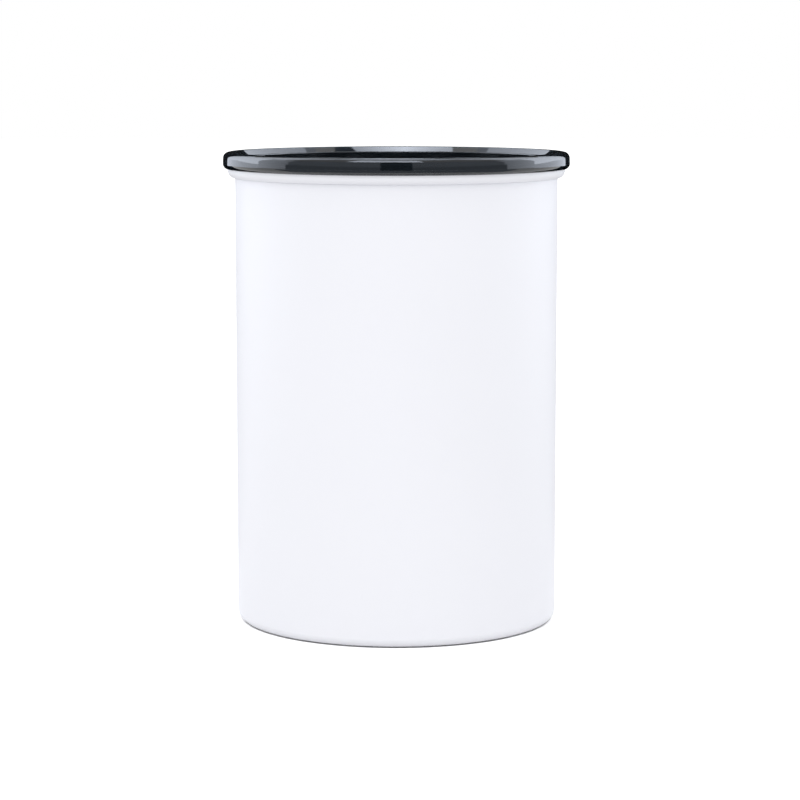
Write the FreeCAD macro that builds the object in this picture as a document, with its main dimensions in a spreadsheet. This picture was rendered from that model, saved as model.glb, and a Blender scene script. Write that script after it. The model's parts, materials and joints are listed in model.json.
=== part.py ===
import FreeCAD, Part
import Sketcher
import math
import os
from types import SimpleNamespace

# Steel coffee canister with a push-on outer lid and a sliding inner lid.
# The inner lid is pushed down onto the coffee. Its folding handle works a valve: with the handle up the
# valve is lifted and air can leave, and with the handle down a spring holds the valve shut.
# Origin: middle of the base, on the surface that the canister stands on. Z is up. Millimetres.

CANISTER_SIZES = (
    ("body_diameter", 120.0, "outside of the wall"),
    ("sheet_thickness", 0.6, "steel sheet of wall, base and rolled rim"),
    ("rim_height", 172.8, "top of the rolled rim above the base"),
    ("base_corner", 3.3, "outside radius between wall and base"),
    ("foot_width", 9.0, "flat ring that the canister stands on"),
    ("base_rise", 1.2, "height of the raised middle of the base"),
    ("base_slope", 1.8, "width of the step up to the raised middle"),
    ("roll_reach", 2.65, "how far the rolled rim stands out from the wall"),
    ("roll_height", 7.0, "height of the rolled rim"),
    ("roll_gap", 0.2, "gap between the roll's tucked edge and the wall"),
)

LID_SIZES = (
    ("lid_clearance", 0.3, "between the lid and the rolled rim, all round"),
    ("lid_wall", 1.5, "thickness of the skirt and of the plug's wall"),
    ("lid_crest", 2.2, "thickness of the lid over the rim"),
    ("lid_recess", 5.5, "depth of the top panel below the crest"),
    ("lid_panel", 1.6, "thickness of the top panel"),
    ("lid_skirt", 2.1, "straight depth of the skirt above its lip, inside"),
    ("lid_slope", 3.2, "width of the slope inside the crest"),
    ("lid_slope_drop", 2.0, "height of the slope inside the crest"),
    ("lid_draft", 0.12, "how much narrower the skirt is at the crest"),
    ("crest_round", 2.2, "radius at the crest's outer edge"),
    ("crest_inner_round", 1.2, "radius at the crest's inner edge"),
    ("slope_round", 0.5, "radius where the slope meets the wall of the recess"),
    ("panel_round", 1.2, "radius where the wall of the recess meets the panel"),
    ("plug_round", 1.2, "radius at the plug's lower edge"),
    ("lip_round", 2.0, "radius of the skirt's lip"),
)

PLUNGER_SIZES = (
    ("plunger_height", 114.0, "underside of the inner lid above the base, as shown"),
    ("plunger_clearance", 1.2, "between the inner lid's flanges and the wall"),
    ("plunger_depth", 18.0, "height of the inner lid's rim"),
    ("plate_thickness", 2.4, "floor of the inner lid"),
    ("groove_shelf", 3.6, "flange under the seal groove"),
    ("groove_width", 8.8, "height of the seal groove"),
    ("groove_depth", 1.8, "depth of the seal groove"),
    ("groove_wall", 2.4, "wall behind the seal groove"),
    ("dish_round", 4.0, "radius between the floor and the rim"),
    ("rim_round", 1.0, "radius at the rim's edges"),
    ("seal_fit", 0.05, "between the seal and its groove"),
    ("seal_clearance", 0.3, "between the seal's lips and the wall"),
    ("seal_band", 1.2, "thickness of the seal behind its lips"),
    ("lip_root", 2.2, "height of a lip where it leaves the band"),
    ("lip_tip", 0.7, "height of a lip at its edge"),
    ("lip_inset", 0.7, "from the seal's edge to a lip"),
)

VALVE_SIZES = (
    ("vent_diameter", 3.2, "air holes through the floor"),
    ("vent_circle", 4.2, "radius of the circle of air holes"),
    ("seat_margin", 0.6, "between the air holes and the seat"),
    ("seat_width", 1.0, "width of the raised seat"),
    ("seat_height", 0.6, "height of the raised seat"),
    ("washer_overlap", 0.8, "how far the washer reaches past the seat"),
    ("washer_thickness", 1.4, "silicone washer"),
    ("washer_recess", 0.8, "how deep the washer sits in the poppet"),
    ("washer_fit", 0.05, "between the washer and the poppet's rim"),
    ("poppet_rim", 0.75, "rim of the poppet round the washer"),
    ("poppet_web", 1.6, "thickness of the poppet above the washer"),
    ("stem_diameter", 6.0, "poppet stem"),
    ("stem_head", 2.45, "stem above the lift pin's axis"),
    ("valve_opening", 2.0, "lift of the poppet when the handle is up"),
    ("spring_length", 6.0, "room for the spring with the valve shut"),
    ("spring_wire", 0.7, "diameter of the spring's wire"),
    ("spring_play", 1.05, "between the stem guide and the spring"),
    ("spring_end_gap", 0.1, "between the spring's ends and their seats"),
    ("cap_clearance", 0.9, "between the poppet and the cap's wall"),
    ("cap_wall", 1.5, "wall of the valve cap"),
    ("cap_top", 1.6, "top of the valve cap"),
    ("cap_round", 1.0, "radius at the cap's upper edge"),
    ("guide_wall", 1.4, "wall of the stem guide"),
    ("guide_drop", 2.8, "stem guide below the cap's top"),
    ("stem_clearance", 0.1, "between the stem and its guide"),
    ("slot_width", 4.0, "air slots in the cap's wall"),
    ("slot_height", 3.0, "height of an air slot"),
    ("slot_rise", 0.8, "wall under an air slot"),
    ("lobe_thickness", 2.0, "fixing lobes of the cap"),
    ("post_height", 4.6, "screw posts above the floor"),
    ("post_radius", 3.75, "screw posts and the lobes on them"),
    ("post_offset", 4.2, "from the cap's wall to a screw's axis"),
    ("screw_diameter", 2.9, "screw shank"),
    ("screw_length", 6.4, "screw under its head"),
    ("screw_head_diameter", 5.6, "screw head"),
    ("screw_head_height", 1.8, "screw head"),
    ("screw_fit", 0.05, "between a screw and its post"),
    ("screw_room", 0.3, "under a screw's tip"),
    ("lobe_clearance", 0.15, "between a screw and its lobe"),
)

HANDLE_SIZES = (
    ("lift_pin_diameter", 2.5, "cross pin through the stem"),
    ("lift_pin_gap", 0.3, "between the cap and the lift pin"),
    ("lift_pin_fit", 0.02, "between the lift pin and the stem"),
    ("lift_pin_end_gap", 0.6, "between the lift pin's end and the handle's leg"),
    ("pin_chamfer", 0.3, "chamfer on the pins' ends"),
    ("cam_gap", 0.8, "between the cap and a cam"),
    ("cam_width", 4.4, "width of a cam"),
    ("cam_radius", 4.2, "radius of a cam"),
    ("cam_clearance", 0.12, "between a cam and the lift pin"),
    ("hub_width", 5.0, "width of the handle's leg"),
    ("hub_radius", 4.6, "round end of the handle's leg"),
    ("grip_thickness", 6.0, "thickness of the handle"),
    ("grip_round", 2.2, "radius along the handle's edges"),
    ("handle_reach", 34.0, "from the pivot to the middle of the grip"),
    ("loop_half_width", 25.5, "from the middle to the loop's side"),
    ("leg_straight", 7.0, "straight start of a leg"),
    ("loop_corner", 9.0, "bends at the ends of the grip"),
    ("side_straight", 0.4, "straight side of the loop before those bends"),
    ("ear_gap", 0.3, "between the handle and an ear"),
    ("ear_thickness", 4.0, "ear that carries a pivot pin"),
    ("ear_radius", 4.6, "round top of an ear"),
    ("ear_spread", 2.6, "radius at the foot of an ear"),
    ("pivot_diameter", 3.0, "pivot pin"),
    ("pivot_clearance", 0.05, "between a pivot pin and the handle"),
    ("pivot_fit", 0.02, "between a pivot pin and its ear"),
    ("pivot_head_diameter", 5.4, "pivot pin's head"),
    ("pivot_head_height", 1.2, "pivot pin's head"),
    ("pivot_tip_gap", 0.3, "from a pivot pin's tip to the cam's inner face"),
    ("rest_gap", 0.3, "between the folded handle and its rests"),
    ("rest_width", 5.0, "handle rest on the floor"),
    ("rest_spread", 12.0, "from the middle to a handle rest"),
)

VENT_COUNT = 6
SLOT_PAIRS = 3
SPRING_TURNS = 4.25
ARCS_PER_TURN = 4
SAMPLES_PER_TURN = 48
LEFT_TURN = 1
RIGHT_TURN = -1
SAME_PLACE = 1e-4


class Size:
    """A length or ratio: its value now, and the expression on the sheet that drives it."""

    def __init__(self, value, text):
        self.value = float(value)
        self.text = text

    @staticmethod
    def of(thing):
        return thing if isinstance(thing, Size) else Size(thing, repr(float(thing)))

    def is_zero(self):
        return "Sizes." not in self.text and self.value == 0.0

    def _join(self, sign, other, value):
        return Size(value, f"({self.text} {sign} {other.text})")

    def __add__(self, other):
        other = Size.of(other)
        return self._join("+", other, self.value + other.value)

    def __sub__(self, other):
        other = Size.of(other)
        return self._join("-", other, self.value - other.value)

    def __mul__(self, other):
        other = Size.of(other)
        return self._join("*", other, self.value * other.value)

    def __truediv__(self, other):
        other = Size.of(other)
        return self._join("/", other, self.value / other.value)

    def __radd__(self, other):
        return Size.of(other) + self

    def __rsub__(self, other):
        return Size.of(other) - self

    def __rmul__(self, other):
        return Size.of(other) * self

    def __neg__(self):
        return Size(-self.value, f"(-1 * {self.text})")

    def root(self):
        return Size(math.sqrt(self.value), f"sqrt({self.text})")


def make_sheet(doc):
    """Fills the sheet and returns every driving size by its name."""
    sheet = doc.addObject("Spreadsheet::Sheet", "Sizes")
    rows = CANISTER_SIZES + LID_SIZES + PLUNGER_SIZES + VALVE_SIZES + HANDLE_SIZES
    for row, (name, value, meaning) in enumerate(rows, start=1):
        sheet.set(f"A{row}", name)
        sheet.set(f"B{row}", str(value))
        sheet.set(f"C{row}", meaning)
        sheet.setAlias(f"B{row}", name)
    doc.recompute()
    return SimpleNamespace(**{name: Size(sheet.get(name), f"Sizes.{name}") for name, _, _ in rows})


def work_out(d):
    """Adds the radii, heights and places that follow from the driving sizes."""
    # canister: radii from its axis, heights above its base
    d.wall_out = d.body_diameter / 2
    d.wall_in = d.wall_out - d.sheet_thickness
    d.roll_out = d.wall_out + d.roll_reach
    # inner lid: heights above its own underside
    d.flange_out = d.wall_in - d.plunger_clearance
    d.groove_floor = d.flange_out - d.groove_depth
    d.dish_in = d.groove_floor - d.groove_wall
    d.groove_top = d.groove_shelf + d.groove_width
    d.root = d.plate_thickness / 2
    # valve, from the floor up
    d.seat_in = d.vent_circle + d.vent_diameter / 2 + d.seat_margin
    d.seat_out = d.seat_in + d.seat_width
    d.seat_top = d.plate_thickness + d.seat_height
    d.washer_out = d.seat_out + d.washer_overlap
    d.washer_top = d.seat_top + d.washer_thickness
    d.poppet_in = d.washer_out + d.washer_fit
    d.poppet_out = d.poppet_in + d.poppet_rim
    d.poppet_top = d.washer_top + d.poppet_web
    d.cap_ceiling = d.poppet_top + d.spring_length
    d.cap_height = d.cap_ceiling + d.cap_top
    d.cap_in = d.poppet_out + d.cap_clearance
    d.cap_out = d.cap_in + d.cap_wall
    d.guide_in = d.stem_diameter / 2 + d.stem_clearance
    d.guide_out = d.guide_in + d.guide_wall
    d.lobe_seat = d.plate_thickness + d.post_height
    d.lobe_top = d.lobe_seat + d.lobe_thickness
    d.screw_place = d.cap_out + d.post_offset
    # handle: the cam's centre is off the pivot by half the valve's lift, back and down
    d.lift_axis = d.cap_height + d.lift_pin_gap + d.lift_pin_diameter / 2
    d.cam_offset = d.valve_opening / 2
    touch = d.cam_radius + d.lift_pin_diameter / 2 + d.cam_clearance
    d.pivot_height = d.lift_axis + d.cam_offset - (touch * touch - d.cam_offset * d.cam_offset).root()
    d.cam_start = d.cap_out + d.cam_gap
    d.hub_start = d.cam_start + d.cam_width
    d.hub_end = d.hub_start + d.hub_width
    d.leg_middle = d.hub_start + d.hub_width / 2
    d.ear_start = d.hub_end + d.ear_gap
    d.ear_end = d.ear_start + d.ear_thickness


def at(place):
    """A point of a sketch, from two sizes."""
    return FreeCAD.Vector(place[0].value, place[1].value, 0)


def tie(curve, point, axis, size):
    """A constraint that holds one coordinate of a curve's point, with the size that drives it."""
    if size.is_zero():
        axis_line = -2 if axis == "X" else -1
        return Sketcher.Constraint("PointOnObject", curve, point, axis_line), None
    return Sketcher.Constraint("Distance" + axis, curve, point, size.value), size


def add_ties(sketch, ties):
    """Adds constraints to a sketch and binds those that a size drives."""
    first = sketch.ConstraintCount
    sketch.addConstraint([constraint for constraint, _ in ties])
    for index, (_, size) in enumerate(ties, start=first):
        if size is not None and "Sizes." in size.text:
            sketch.setExpression(f"Constraints[{index}]", size.text)


class Pen:
    """Draws an outline in a sketch. Every corner and arc centre stays tied to the sheet."""

    def __init__(self, sketch, x, y):
        self.sketch = sketch
        self.here = (Size.of(x), Size.of(y))
        self.corners = [self.here]
        self.curves = []
        self.ends = []
        self.centres = []

    def line(self, x, y):
        there = (Size.of(x), Size.of(y))
        self._add(Part.LineSegment(at(self.here), at(there)), (1, 2), None, there)

    def arc(self, x, y, centre_x, centre_y, turn):
        there = (Size.of(x), Size.of(y))
        centre = (Size.of(centre_x), Size.of(centre_y))
        first = at(self.here) - at(centre)
        last = at(there) - at(centre)
        angles = (math.atan2(first.y, first.x), math.atan2(last.y, last.x))
        ends = (1, 2)
        if turn == RIGHT_TURN:
            angles = angles[::-1]
            ends = (2, 1)
        circle = Part.Circle(at(centre), FreeCAD.Vector(0, 0, 1), first.Length)
        chord = last - first
        held = ("Y", centre[1]) if abs(chord.x) > abs(chord.y) else ("X", centre[0])
        self._add(Part.ArcOfCircle(circle, *angles), ends, held, there)

    def close(self):
        """Ends the outline where it began, with a line unless the last arc is already back there."""
        if at(self.here).distanceToPoint(at(self.corners[0])) > SAME_PLACE:
            self.line(*self.corners[0])
        self._finish(closed=True)

    def stop(self):
        self._finish(closed=False)

    def _add(self, curve, ends, centre, there):
        self.curves.append(curve)
        self.ends.append(ends)
        self.centres.append(centre)
        self.corners.append(there)
        self.here = there

    def _finish(self, closed):
        self.sketch.addGeometry(self.curves, False)
        ties = []
        for index, (first, last) in enumerate(self.ends):
            if closed or index > 0:
                before = (index - 1) % len(self.ends)
                joint = Sketcher.Constraint("Coincident", before, self.ends[before][1], index, first)
                ties.append((joint, None))
            ties.append(tie(index, first, "X", self.corners[index][0]))
            ties.append(tie(index, first, "Y", self.corners[index][1]))
            if self.centres[index]:
                ties.append(tie(index, 3, *self.centres[index]))
        if not closed:
            index = len(self.ends) - 1
            ties.append(tie(index, self.ends[index][1], "X", self.here[0]))
            ties.append(tie(index, self.ends[index][1], "Y", self.here[1]))
        add_ties(self.sketch, ties)


def draw_circle(sketch, x, y, radius):
    x, y = Size.of(x), Size.of(y)
    circle = Part.Circle(at((x, y)), FreeCAD.Vector(0, 0, 1), radius.value)
    index = sketch.addGeometry(circle, False)
    add_ties(sketch, [
        tie(index, 3, "X", x),
        tie(index, 3, "Y", y),
        (Sketcher.Constraint("Radius", index, radius.value), radius),
    ])


def new_body(doc, label, x=0, y=0, z=0):
    """A body whose place follows the sheet."""
    body = doc.addObject("PartDesign::Body", label)
    body.Label = label
    for axis, size in zip("xyz", (Size.of(x), Size.of(y), Size.of(z))):
        if not size.is_zero():
            body.setExpression(f"Placement.Base.{axis}", size.text)
    return body


def datum(body, role):
    """One of the body's own origin planes or axes."""
    return next(feature for feature in body.Origin.OriginFeatures if feature.Role == role)


def new_sketch(body, name, role, offset=0):
    """A sketch on one of the body's origin planes, or level with it at an offset."""
    sketch = body.newObject("Sketcher::SketchObject", name)
    sketch.AttachmentSupport = (datum(body, role), [""])
    sketch.MapMode = "FlatFace"
    offset = Size.of(offset)
    if not offset.is_zero():
        sketch.AttachmentOffset = FreeCAD.Placement(FreeCAD.Vector(0, 0, offset.value), FreeCAD.Rotation())
        sketch.setExpression("AttachmentOffset.Base.z", offset.text)
    return sketch


def turn_profile(body, sketch, axis="V_Axis"):
    """Revolves a profile about its sketch's upright (V) or level (H) axis."""
    feature = body.newObject("PartDesign::Revolution", sketch.Name + "_turned")
    feature.Profile = sketch
    feature.ReferenceAxis = (sketch, [axis])
    feature.Angle = 360.0
    body.Document.recompute()
    return feature


def pad(body, sketch, length):
    feature = body.newObject("PartDesign::Pad", sketch.Name + "_pad")
    feature.Profile = sketch
    feature.setExpression("Length", length.text)
    body.Document.recompute()
    return feature


def cut_through(body, sketch, length=None):
    """Cuts both ways from the sketch: the given length in all, or right through."""
    before = body.Tip.Shape.Volume
    feature = body.newObject("PartDesign::Pocket", sketch.Name + "_cut")
    feature.Profile = sketch
    feature.SideType = "Symmetric"
    if length is None:
        feature.Type = "ThroughAll"
    else:
        feature.setExpression("Length", length.text)
    body.Document.recompute()
    check_cut(feature, before)
    return feature


def cut_down(body, sketch, depth):
    """Cuts from the sketch against its normal, down to the given depth."""
    before = body.Tip.Shape.Volume
    feature = body.newObject("PartDesign::Pocket", sketch.Name + "_cut")
    feature.Profile = sketch
    feature.setExpression("Length", depth.text)
    body.Document.recompute()
    check_cut(feature, before)
    return feature


def check_cut(feature, before):
    if not feature.Shape.Volume < before:
        raise RuntimeError(f"{feature.Name} removed nothing")


def mirror(body, features, role):
    """Repeats features on the other side of one of the body's origin planes."""
    feature = body.newObject("PartDesign::Mirrored", features[-1].Name + "_mirrored")
    feature.Originals = features
    feature.MirrorPlane = (datum(body, role), [""])
    body.Tip = feature
    body.Document.recompute()
    return feature


def repeat_round(body, features, count, angle=360.0):
    """Repeats features evenly round the body's Z axis."""
    feature = body.newObject("PartDesign::PolarPattern", features[-1].Name + "_round")
    feature.Originals = features
    feature.Axis = (datum(body, "Z_Axis"), [""])
    feature.Angle = angle
    feature.Occurrences = count
    body.Tip = feature
    body.Document.recompute()
    return feature


def ring_edges(shape, radius, height):
    """Names of a turned shape's circular edges at a radius and height."""
    names = []
    for index, edge in enumerate(shape.Edges, start=1):
        curve = edge.Curve
        if not isinstance(curve, Part.Circle):
            continue
        off = math.hypot(curve.Radius - radius.value, curve.Center.z - height.value)
        if off < SAME_PLACE:
            names.append(f"Edge{index}")
    if not names:
        raise RuntimeError(f"no edge at radius {radius.value}, height {height.value}")
    return names


def round_rings(body, places, radius):
    """Fillets the circular edges of the body's tip at the given radii and heights."""
    base = body.Tip
    names = [name for place in places for name in ring_edges(base.Shape, *place)]
    feature = body.newObject("PartDesign::Fillet", base.Name + "_round")
    feature.Base = (base, names)
    feature.setExpression("Radius", radius.text)
    body.Document.recompute()
    return feature


def make_canister(doc, d):
    """Drawn shell: raised base, rounded corner, straight wall and a rim rolled outwards."""
    body = new_body(doc, "canister_body")
    sketch = new_sketch(body, "shell_profile", "XZ_Plane")
    sheet = d.sheet_thickness
    corner = d.wall_out - d.base_corner
    step = corner - d.foot_width
    raised = step - d.base_slope
    roll_middle = (d.wall_in + d.roll_out) / 2
    bend_out = (d.roll_out - d.wall_in) / 2
    bend_in = bend_out - sheet
    bend_height = d.rim_height - bend_out
    tuck_height = d.rim_height - d.roll_height + d.roll_reach
    tuck_in = d.roll_reach - sheet
    edge = d.wall_out + d.roll_gap
    pen = Pen(sketch, 0, d.base_rise)
    pen.line(raised, d.base_rise)
    pen.line(step, 0)
    pen.line(corner, 0)
    pen.arc(d.wall_out, d.base_corner, corner, d.base_corner, LEFT_TURN)
    pen.line(d.wall_out, bend_height)
    pen.arc(d.wall_out + 2 * bend_in, bend_height, roll_middle, bend_height, RIGHT_TURN)
    pen.line(d.roll_out - sheet, tuck_height)
    pen.arc(edge, tuck_height - (tuck_in * tuck_in - d.roll_gap * d.roll_gap).root(),
            d.wall_out, tuck_height, RIGHT_TURN)
    pen.line(edge, tuck_height - (d.roll_reach * d.roll_reach - d.roll_gap * d.roll_gap).root())
    pen.arc(d.roll_out, tuck_height, d.wall_out, tuck_height, LEFT_TURN)
    pen.line(d.roll_out, bend_height)
    pen.arc(d.wall_in, bend_height, roll_middle, bend_height, LEFT_TURN)
    pen.line(d.wall_in, d.base_corner)
    pen.arc(corner, sheet, corner, d.base_corner, RIGHT_TURN)
    pen.line(step, sheet)
    pen.line(raised, d.base_rise + sheet)
    pen.line(0, d.base_rise + sheet)
    pen.close()
    turn_profile(body, sketch)
    return body


def make_outer_lid(doc, d):
    """Push-on lid: a skirt outside the rim, and inside it a plug whose floor is the sunken top panel."""
    body = new_body(doc, "outer_lid")
    sketch = new_sketch(body, "lid_profile", "XZ_Plane")
    skirt_in = d.roll_out + d.lid_clearance
    skirt_out = skirt_in + d.lid_wall
    plug_out = d.wall_in - d.lid_clearance
    plug_in = plug_out - d.lid_wall
    ceiling = d.rim_height + d.lid_clearance
    crest = ceiling + d.lid_crest
    panel = crest - d.lid_recess
    underside = panel - d.lid_panel
    lip_top = ceiling - d.lid_skirt
    lip_middle = skirt_out - d.lip_round
    lip_width = skirt_in - lip_middle
    lip_end = lip_top - (d.lip_round * d.lip_round - lip_width * lip_width).root()
    crest_out = skirt_out - d.lid_draft
    crest_in = plug_in + d.lid_slope
    slope_end = crest - d.lid_slope_drop
    pen = Pen(sketch, 0, underside)
    pen.line(plug_out, underside)
    pen.line(plug_out, ceiling)
    pen.line(skirt_in, ceiling)
    pen.line(skirt_in, lip_end)
    pen.arc(skirt_out, lip_top, lip_middle, lip_top, LEFT_TURN)
    pen.line(crest_out, crest)
    pen.line(crest_in, crest)
    pen.line(plug_in, slope_end)
    pen.line(plug_in, panel)
    pen.line(0, panel)
    pen.close()
    turn_profile(body, sketch)
    round_rings(body, [(crest_out, crest)], d.crest_round)
    round_rings(body, [(crest_in, crest)], d.crest_inner_round)
    round_rings(body, [(plug_in, slope_end)], d.slope_round)
    round_rings(body, [(plug_in, panel)], d.panel_round)
    round_rings(body, [(plug_out, underside)], d.plug_round)
    return body


def make_plunger_disc(doc, d):
    """Moulded dish: seal groove, vented valve seat, ears, screw posts and handle rests."""
    body = new_body(doc, "plunger_disc", z=d.plunger_height)
    dish = new_sketch(body, "dish_profile", "XZ_Plane")
    pen = Pen(dish, 0, 0)
    pen.line(d.flange_out, 0)
    pen.line(d.flange_out, d.groove_shelf)
    pen.line(d.groove_floor, d.groove_shelf)
    pen.line(d.groove_floor, d.groove_top)
    pen.line(d.flange_out, d.groove_top)
    pen.line(d.flange_out, d.plunger_depth)
    pen.line(d.dish_in, d.plunger_depth)
    pen.line(d.dish_in, d.plate_thickness)
    pen.line(0, d.plate_thickness)
    pen.close()
    turn_profile(body, dish)
    round_rings(body, [(d.dish_in, d.plate_thickness)], d.dish_round)
    rim_edges = [(d.flange_out, Size.of(0)), (d.flange_out, d.plunger_depth), (d.dish_in, d.plunger_depth)]
    round_rings(body, rim_edges, d.rim_round)

    seat = new_sketch(body, "seat_ring", "XY_Plane", d.plate_thickness)
    draw_circle(seat, 0, 0, d.seat_in)
    draw_circle(seat, 0, 0, d.seat_out)
    pad(body, seat, d.seat_height)

    vent = new_sketch(body, "vent_hole", "XY_Plane")
    draw_circle(vent, d.vent_circle, 0, d.vent_diameter / 2)
    repeat_round(body, [cut_through(body, vent)], VENT_COUNT)

    ear = new_sketch(body, "ear_profile", "YZ_Plane", d.ear_start)
    foot = d.ear_radius + d.ear_spread
    foot_top = d.plate_thickness + d.ear_spread
    pen = Pen(ear, -foot, d.root)
    pen.line(foot, d.root)
    pen.line(foot, d.plate_thickness)
    pen.arc(d.ear_radius, foot_top, foot, foot_top, RIGHT_TURN)
    pen.line(d.ear_radius, d.pivot_height)
    pen.arc(-d.ear_radius, d.pivot_height, 0, d.pivot_height, LEFT_TURN)
    pen.line(-d.ear_radius, foot_top)
    pen.arc(-foot, d.plate_thickness, -foot, foot_top, RIGHT_TURN)
    pen.close()
    mirror(body, [pad(body, ear, d.ear_thickness)], "YZ_Plane")

    bore = new_sketch(body, "ear_bore", "YZ_Plane")
    draw_circle(bore, 0, d.pivot_height, d.pivot_diameter / 2 + d.pivot_fit)
    cut_through(body, bore, 2 * (d.ear_end + d.pivot_head_height))

    post = new_sketch(body, "screw_post", "XY_Plane", d.root)
    draw_circle(post, 0, d.screw_place, d.post_radius)
    mirror(body, [pad(body, post, d.lobe_seat - d.root)], "XZ_Plane")

    pilot = new_sketch(body, "screw_pilot", "XY_Plane", d.lobe_seat)
    draw_circle(pilot, 0, d.screw_place, d.screw_diameter / 2 + d.screw_fit)
    depth = d.screw_length - d.lobe_thickness + d.screw_room
    mirror(body, [cut_down(body, pilot, depth)], "XZ_Plane")

    rest = new_sketch(body, "handle_rest", "XY_Plane", d.root)
    half = d.rest_width / 2
    pen = Pen(rest, d.rest_spread - half, d.handle_reach - half)
    pen.line(d.rest_spread + half, d.handle_reach - half)
    pen.line(d.rest_spread + half, d.handle_reach + half)
    pen.line(d.rest_spread - half, d.handle_reach + half)
    pen.close()
    rest_top = d.pivot_height - d.grip_thickness / 2 - d.rest_gap
    mirror(body, [pad(body, rest, rest_top - d.root)], "YZ_Plane")
    return body


def make_plunger_seal(doc, d):
    """Silicone ring with two wiping lips, stretched into the inner lid's groove."""
    body = new_body(doc, "plunger_seal", z=d.plunger_height)
    sketch = new_sketch(body, "seal_profile", "XZ_Plane")
    inside = d.groove_floor + d.seal_fit
    band = inside + d.seal_band
    tip = d.wall_in - d.seal_clearance
    low = d.groove_shelf + d.seal_fit
    high = d.groove_top - d.seal_fit
    taper = (d.lip_root - d.lip_tip) / 2
    pen = Pen(sketch, inside, low)
    pen.line(band, low)
    for root in (low + d.lip_inset, high - d.lip_inset - d.lip_root):
        pen.line(band, root)
        pen.line(tip, root + taper)
        pen.line(tip, root + taper + d.lip_tip)
        pen.line(band, root + d.lip_root)
    pen.line(band, high)
    pen.line(inside, high)
    pen.close()
    turn_profile(body, sketch)
    return body


def make_valve_cap(doc, d):
    """Cup over the valve: stem guide in its top, air slots in its wall and two fixing lobes."""
    body = new_body(doc, "valve_cap", z=d.plunger_height)
    cup = new_sketch(body, "cap_profile", "XZ_Plane")
    pen = Pen(cup, d.cap_in, d.plate_thickness)
    pen.line(d.cap_out, d.plate_thickness)
    pen.line(d.cap_out, d.cap_height)
    pen.line(d.guide_in, d.cap_height)
    pen.line(d.guide_in, d.cap_ceiling - d.guide_drop)
    pen.line(d.guide_out, d.cap_ceiling - d.guide_drop)
    pen.line(d.guide_out, d.cap_ceiling)
    pen.line(d.cap_in, d.cap_ceiling)
    pen.close()
    turn_profile(body, cup)
    round_rings(body, [(d.cap_out, d.cap_height)], d.cap_round)

    slot = new_sketch(body, "air_slot", "YZ_Plane")
    half = d.slot_width / 2
    slot_low = d.plate_thickness + d.slot_rise
    pen = Pen(slot, -half, slot_low)
    pen.line(half, slot_low)
    pen.line(half, slot_low + d.slot_height)
    pen.line(-half, slot_low + d.slot_height)
    pen.close()
    half_turn = 180.0
    repeat_round(body, [cut_through(body, slot)], SLOT_PAIRS, half_turn * (SLOT_PAIRS - 1) / SLOT_PAIRS)

    lobe = new_sketch(body, "fixing_lobe", "XY_Plane", d.lobe_seat)
    in_wall = d.cap_in + d.cap_wall / 4
    reach = (in_wall * in_wall - d.post_radius * d.post_radius).root()
    pen = Pen(lobe, d.post_radius, reach)
    pen.line(d.post_radius, d.screw_place)
    pen.arc(-d.post_radius, d.screw_place, 0, d.screw_place, LEFT_TURN)
    pen.line(-d.post_radius, reach)
    pen.arc(d.post_radius, reach, 0, 0, RIGHT_TURN)
    pen.close()
    lobe_pad = pad(body, lobe, d.lobe_thickness)
    mirror(body, [lobe_pad], "XZ_Plane")

    hole = new_sketch(body, "lobe_hole", "XY_Plane", d.lobe_top)
    draw_circle(hole, 0, d.screw_place, d.screw_diameter / 2 + d.lobe_clearance)
    mirror(body, [cut_down(body, hole, d.lobe_thickness)], "XZ_Plane")
    return body


def make_cap_screws(doc, d):
    """The two pan-headed screws that hold the valve cap."""
    screws = []
    for name, place in (("screw_rear", d.screw_place), ("screw_front", -d.screw_place)):
        body = new_body(doc, name, y=place, z=d.plunger_height + d.lobe_top)
        sketch = new_sketch(body, name + "_profile", "XZ_Plane")
        head = d.screw_head_diameter / 2
        shank = d.screw_diameter / 2
        pen = Pen(sketch, 0, -d.screw_length)
        pen.line(shank - d.pin_chamfer, -d.screw_length)
        pen.line(shank, d.pin_chamfer - d.screw_length)
        pen.line(shank, 0)
        pen.line(head, 0)
        pen.line(head, d.screw_head_height / 2)
        pen.line(head - d.screw_head_height / 2, d.screw_head_height)
        pen.line(0, d.screw_head_height)
        pen.close()
        turn_profile(body, sketch)
        screws.append(body)
    group = doc.addObject("Part::Compound", "cap_screws")
    group.Label = "cap_screws"
    group.Links = screws
    return group


def make_valve_poppet(doc, d):
    """Valve disc with a recess for its washer, and a stem with a cross hole for the lift pin."""
    body = new_body(doc, "valve_poppet", z=d.plunger_height)
    sketch = new_sketch(body, "poppet_profile", "XZ_Plane")
    stem = d.stem_diameter / 2
    stem_top = d.lift_axis + d.stem_head
    pen = Pen(sketch, 0, d.washer_top)
    pen.line(d.poppet_in, d.washer_top)
    pen.line(d.poppet_in, d.washer_top - d.washer_recess)
    pen.line(d.poppet_out, d.washer_top - d.washer_recess)
    pen.line(d.poppet_out, d.poppet_top)
    pen.line(stem, d.poppet_top)
    pen.line(stem, stem_top - d.pin_chamfer)
    pen.line(stem - d.pin_chamfer, stem_top)
    pen.line(0, stem_top)
    pen.close()
    turn_profile(body, sketch)
    hole = new_sketch(body, "cross_hole", "YZ_Plane")
    draw_circle(hole, 0, d.lift_axis, d.lift_pin_diameter / 2 + d.lift_pin_fit)
    cut_through(body, hole)
    return body


def make_valve_washer(doc, d):
    """Silicone disc that closes on the raised seat."""
    washer = doc.addObject("Part::Cylinder", "valve_washer")
    washer.Label = "valve_washer"
    washer.setExpression("Radius", d.washer_out.text)
    washer.setExpression("Height", d.washer_thickness.text)
    washer.setExpression("Placement.Base.z", (d.plunger_height + d.seat_top).text)
    return washer


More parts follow.
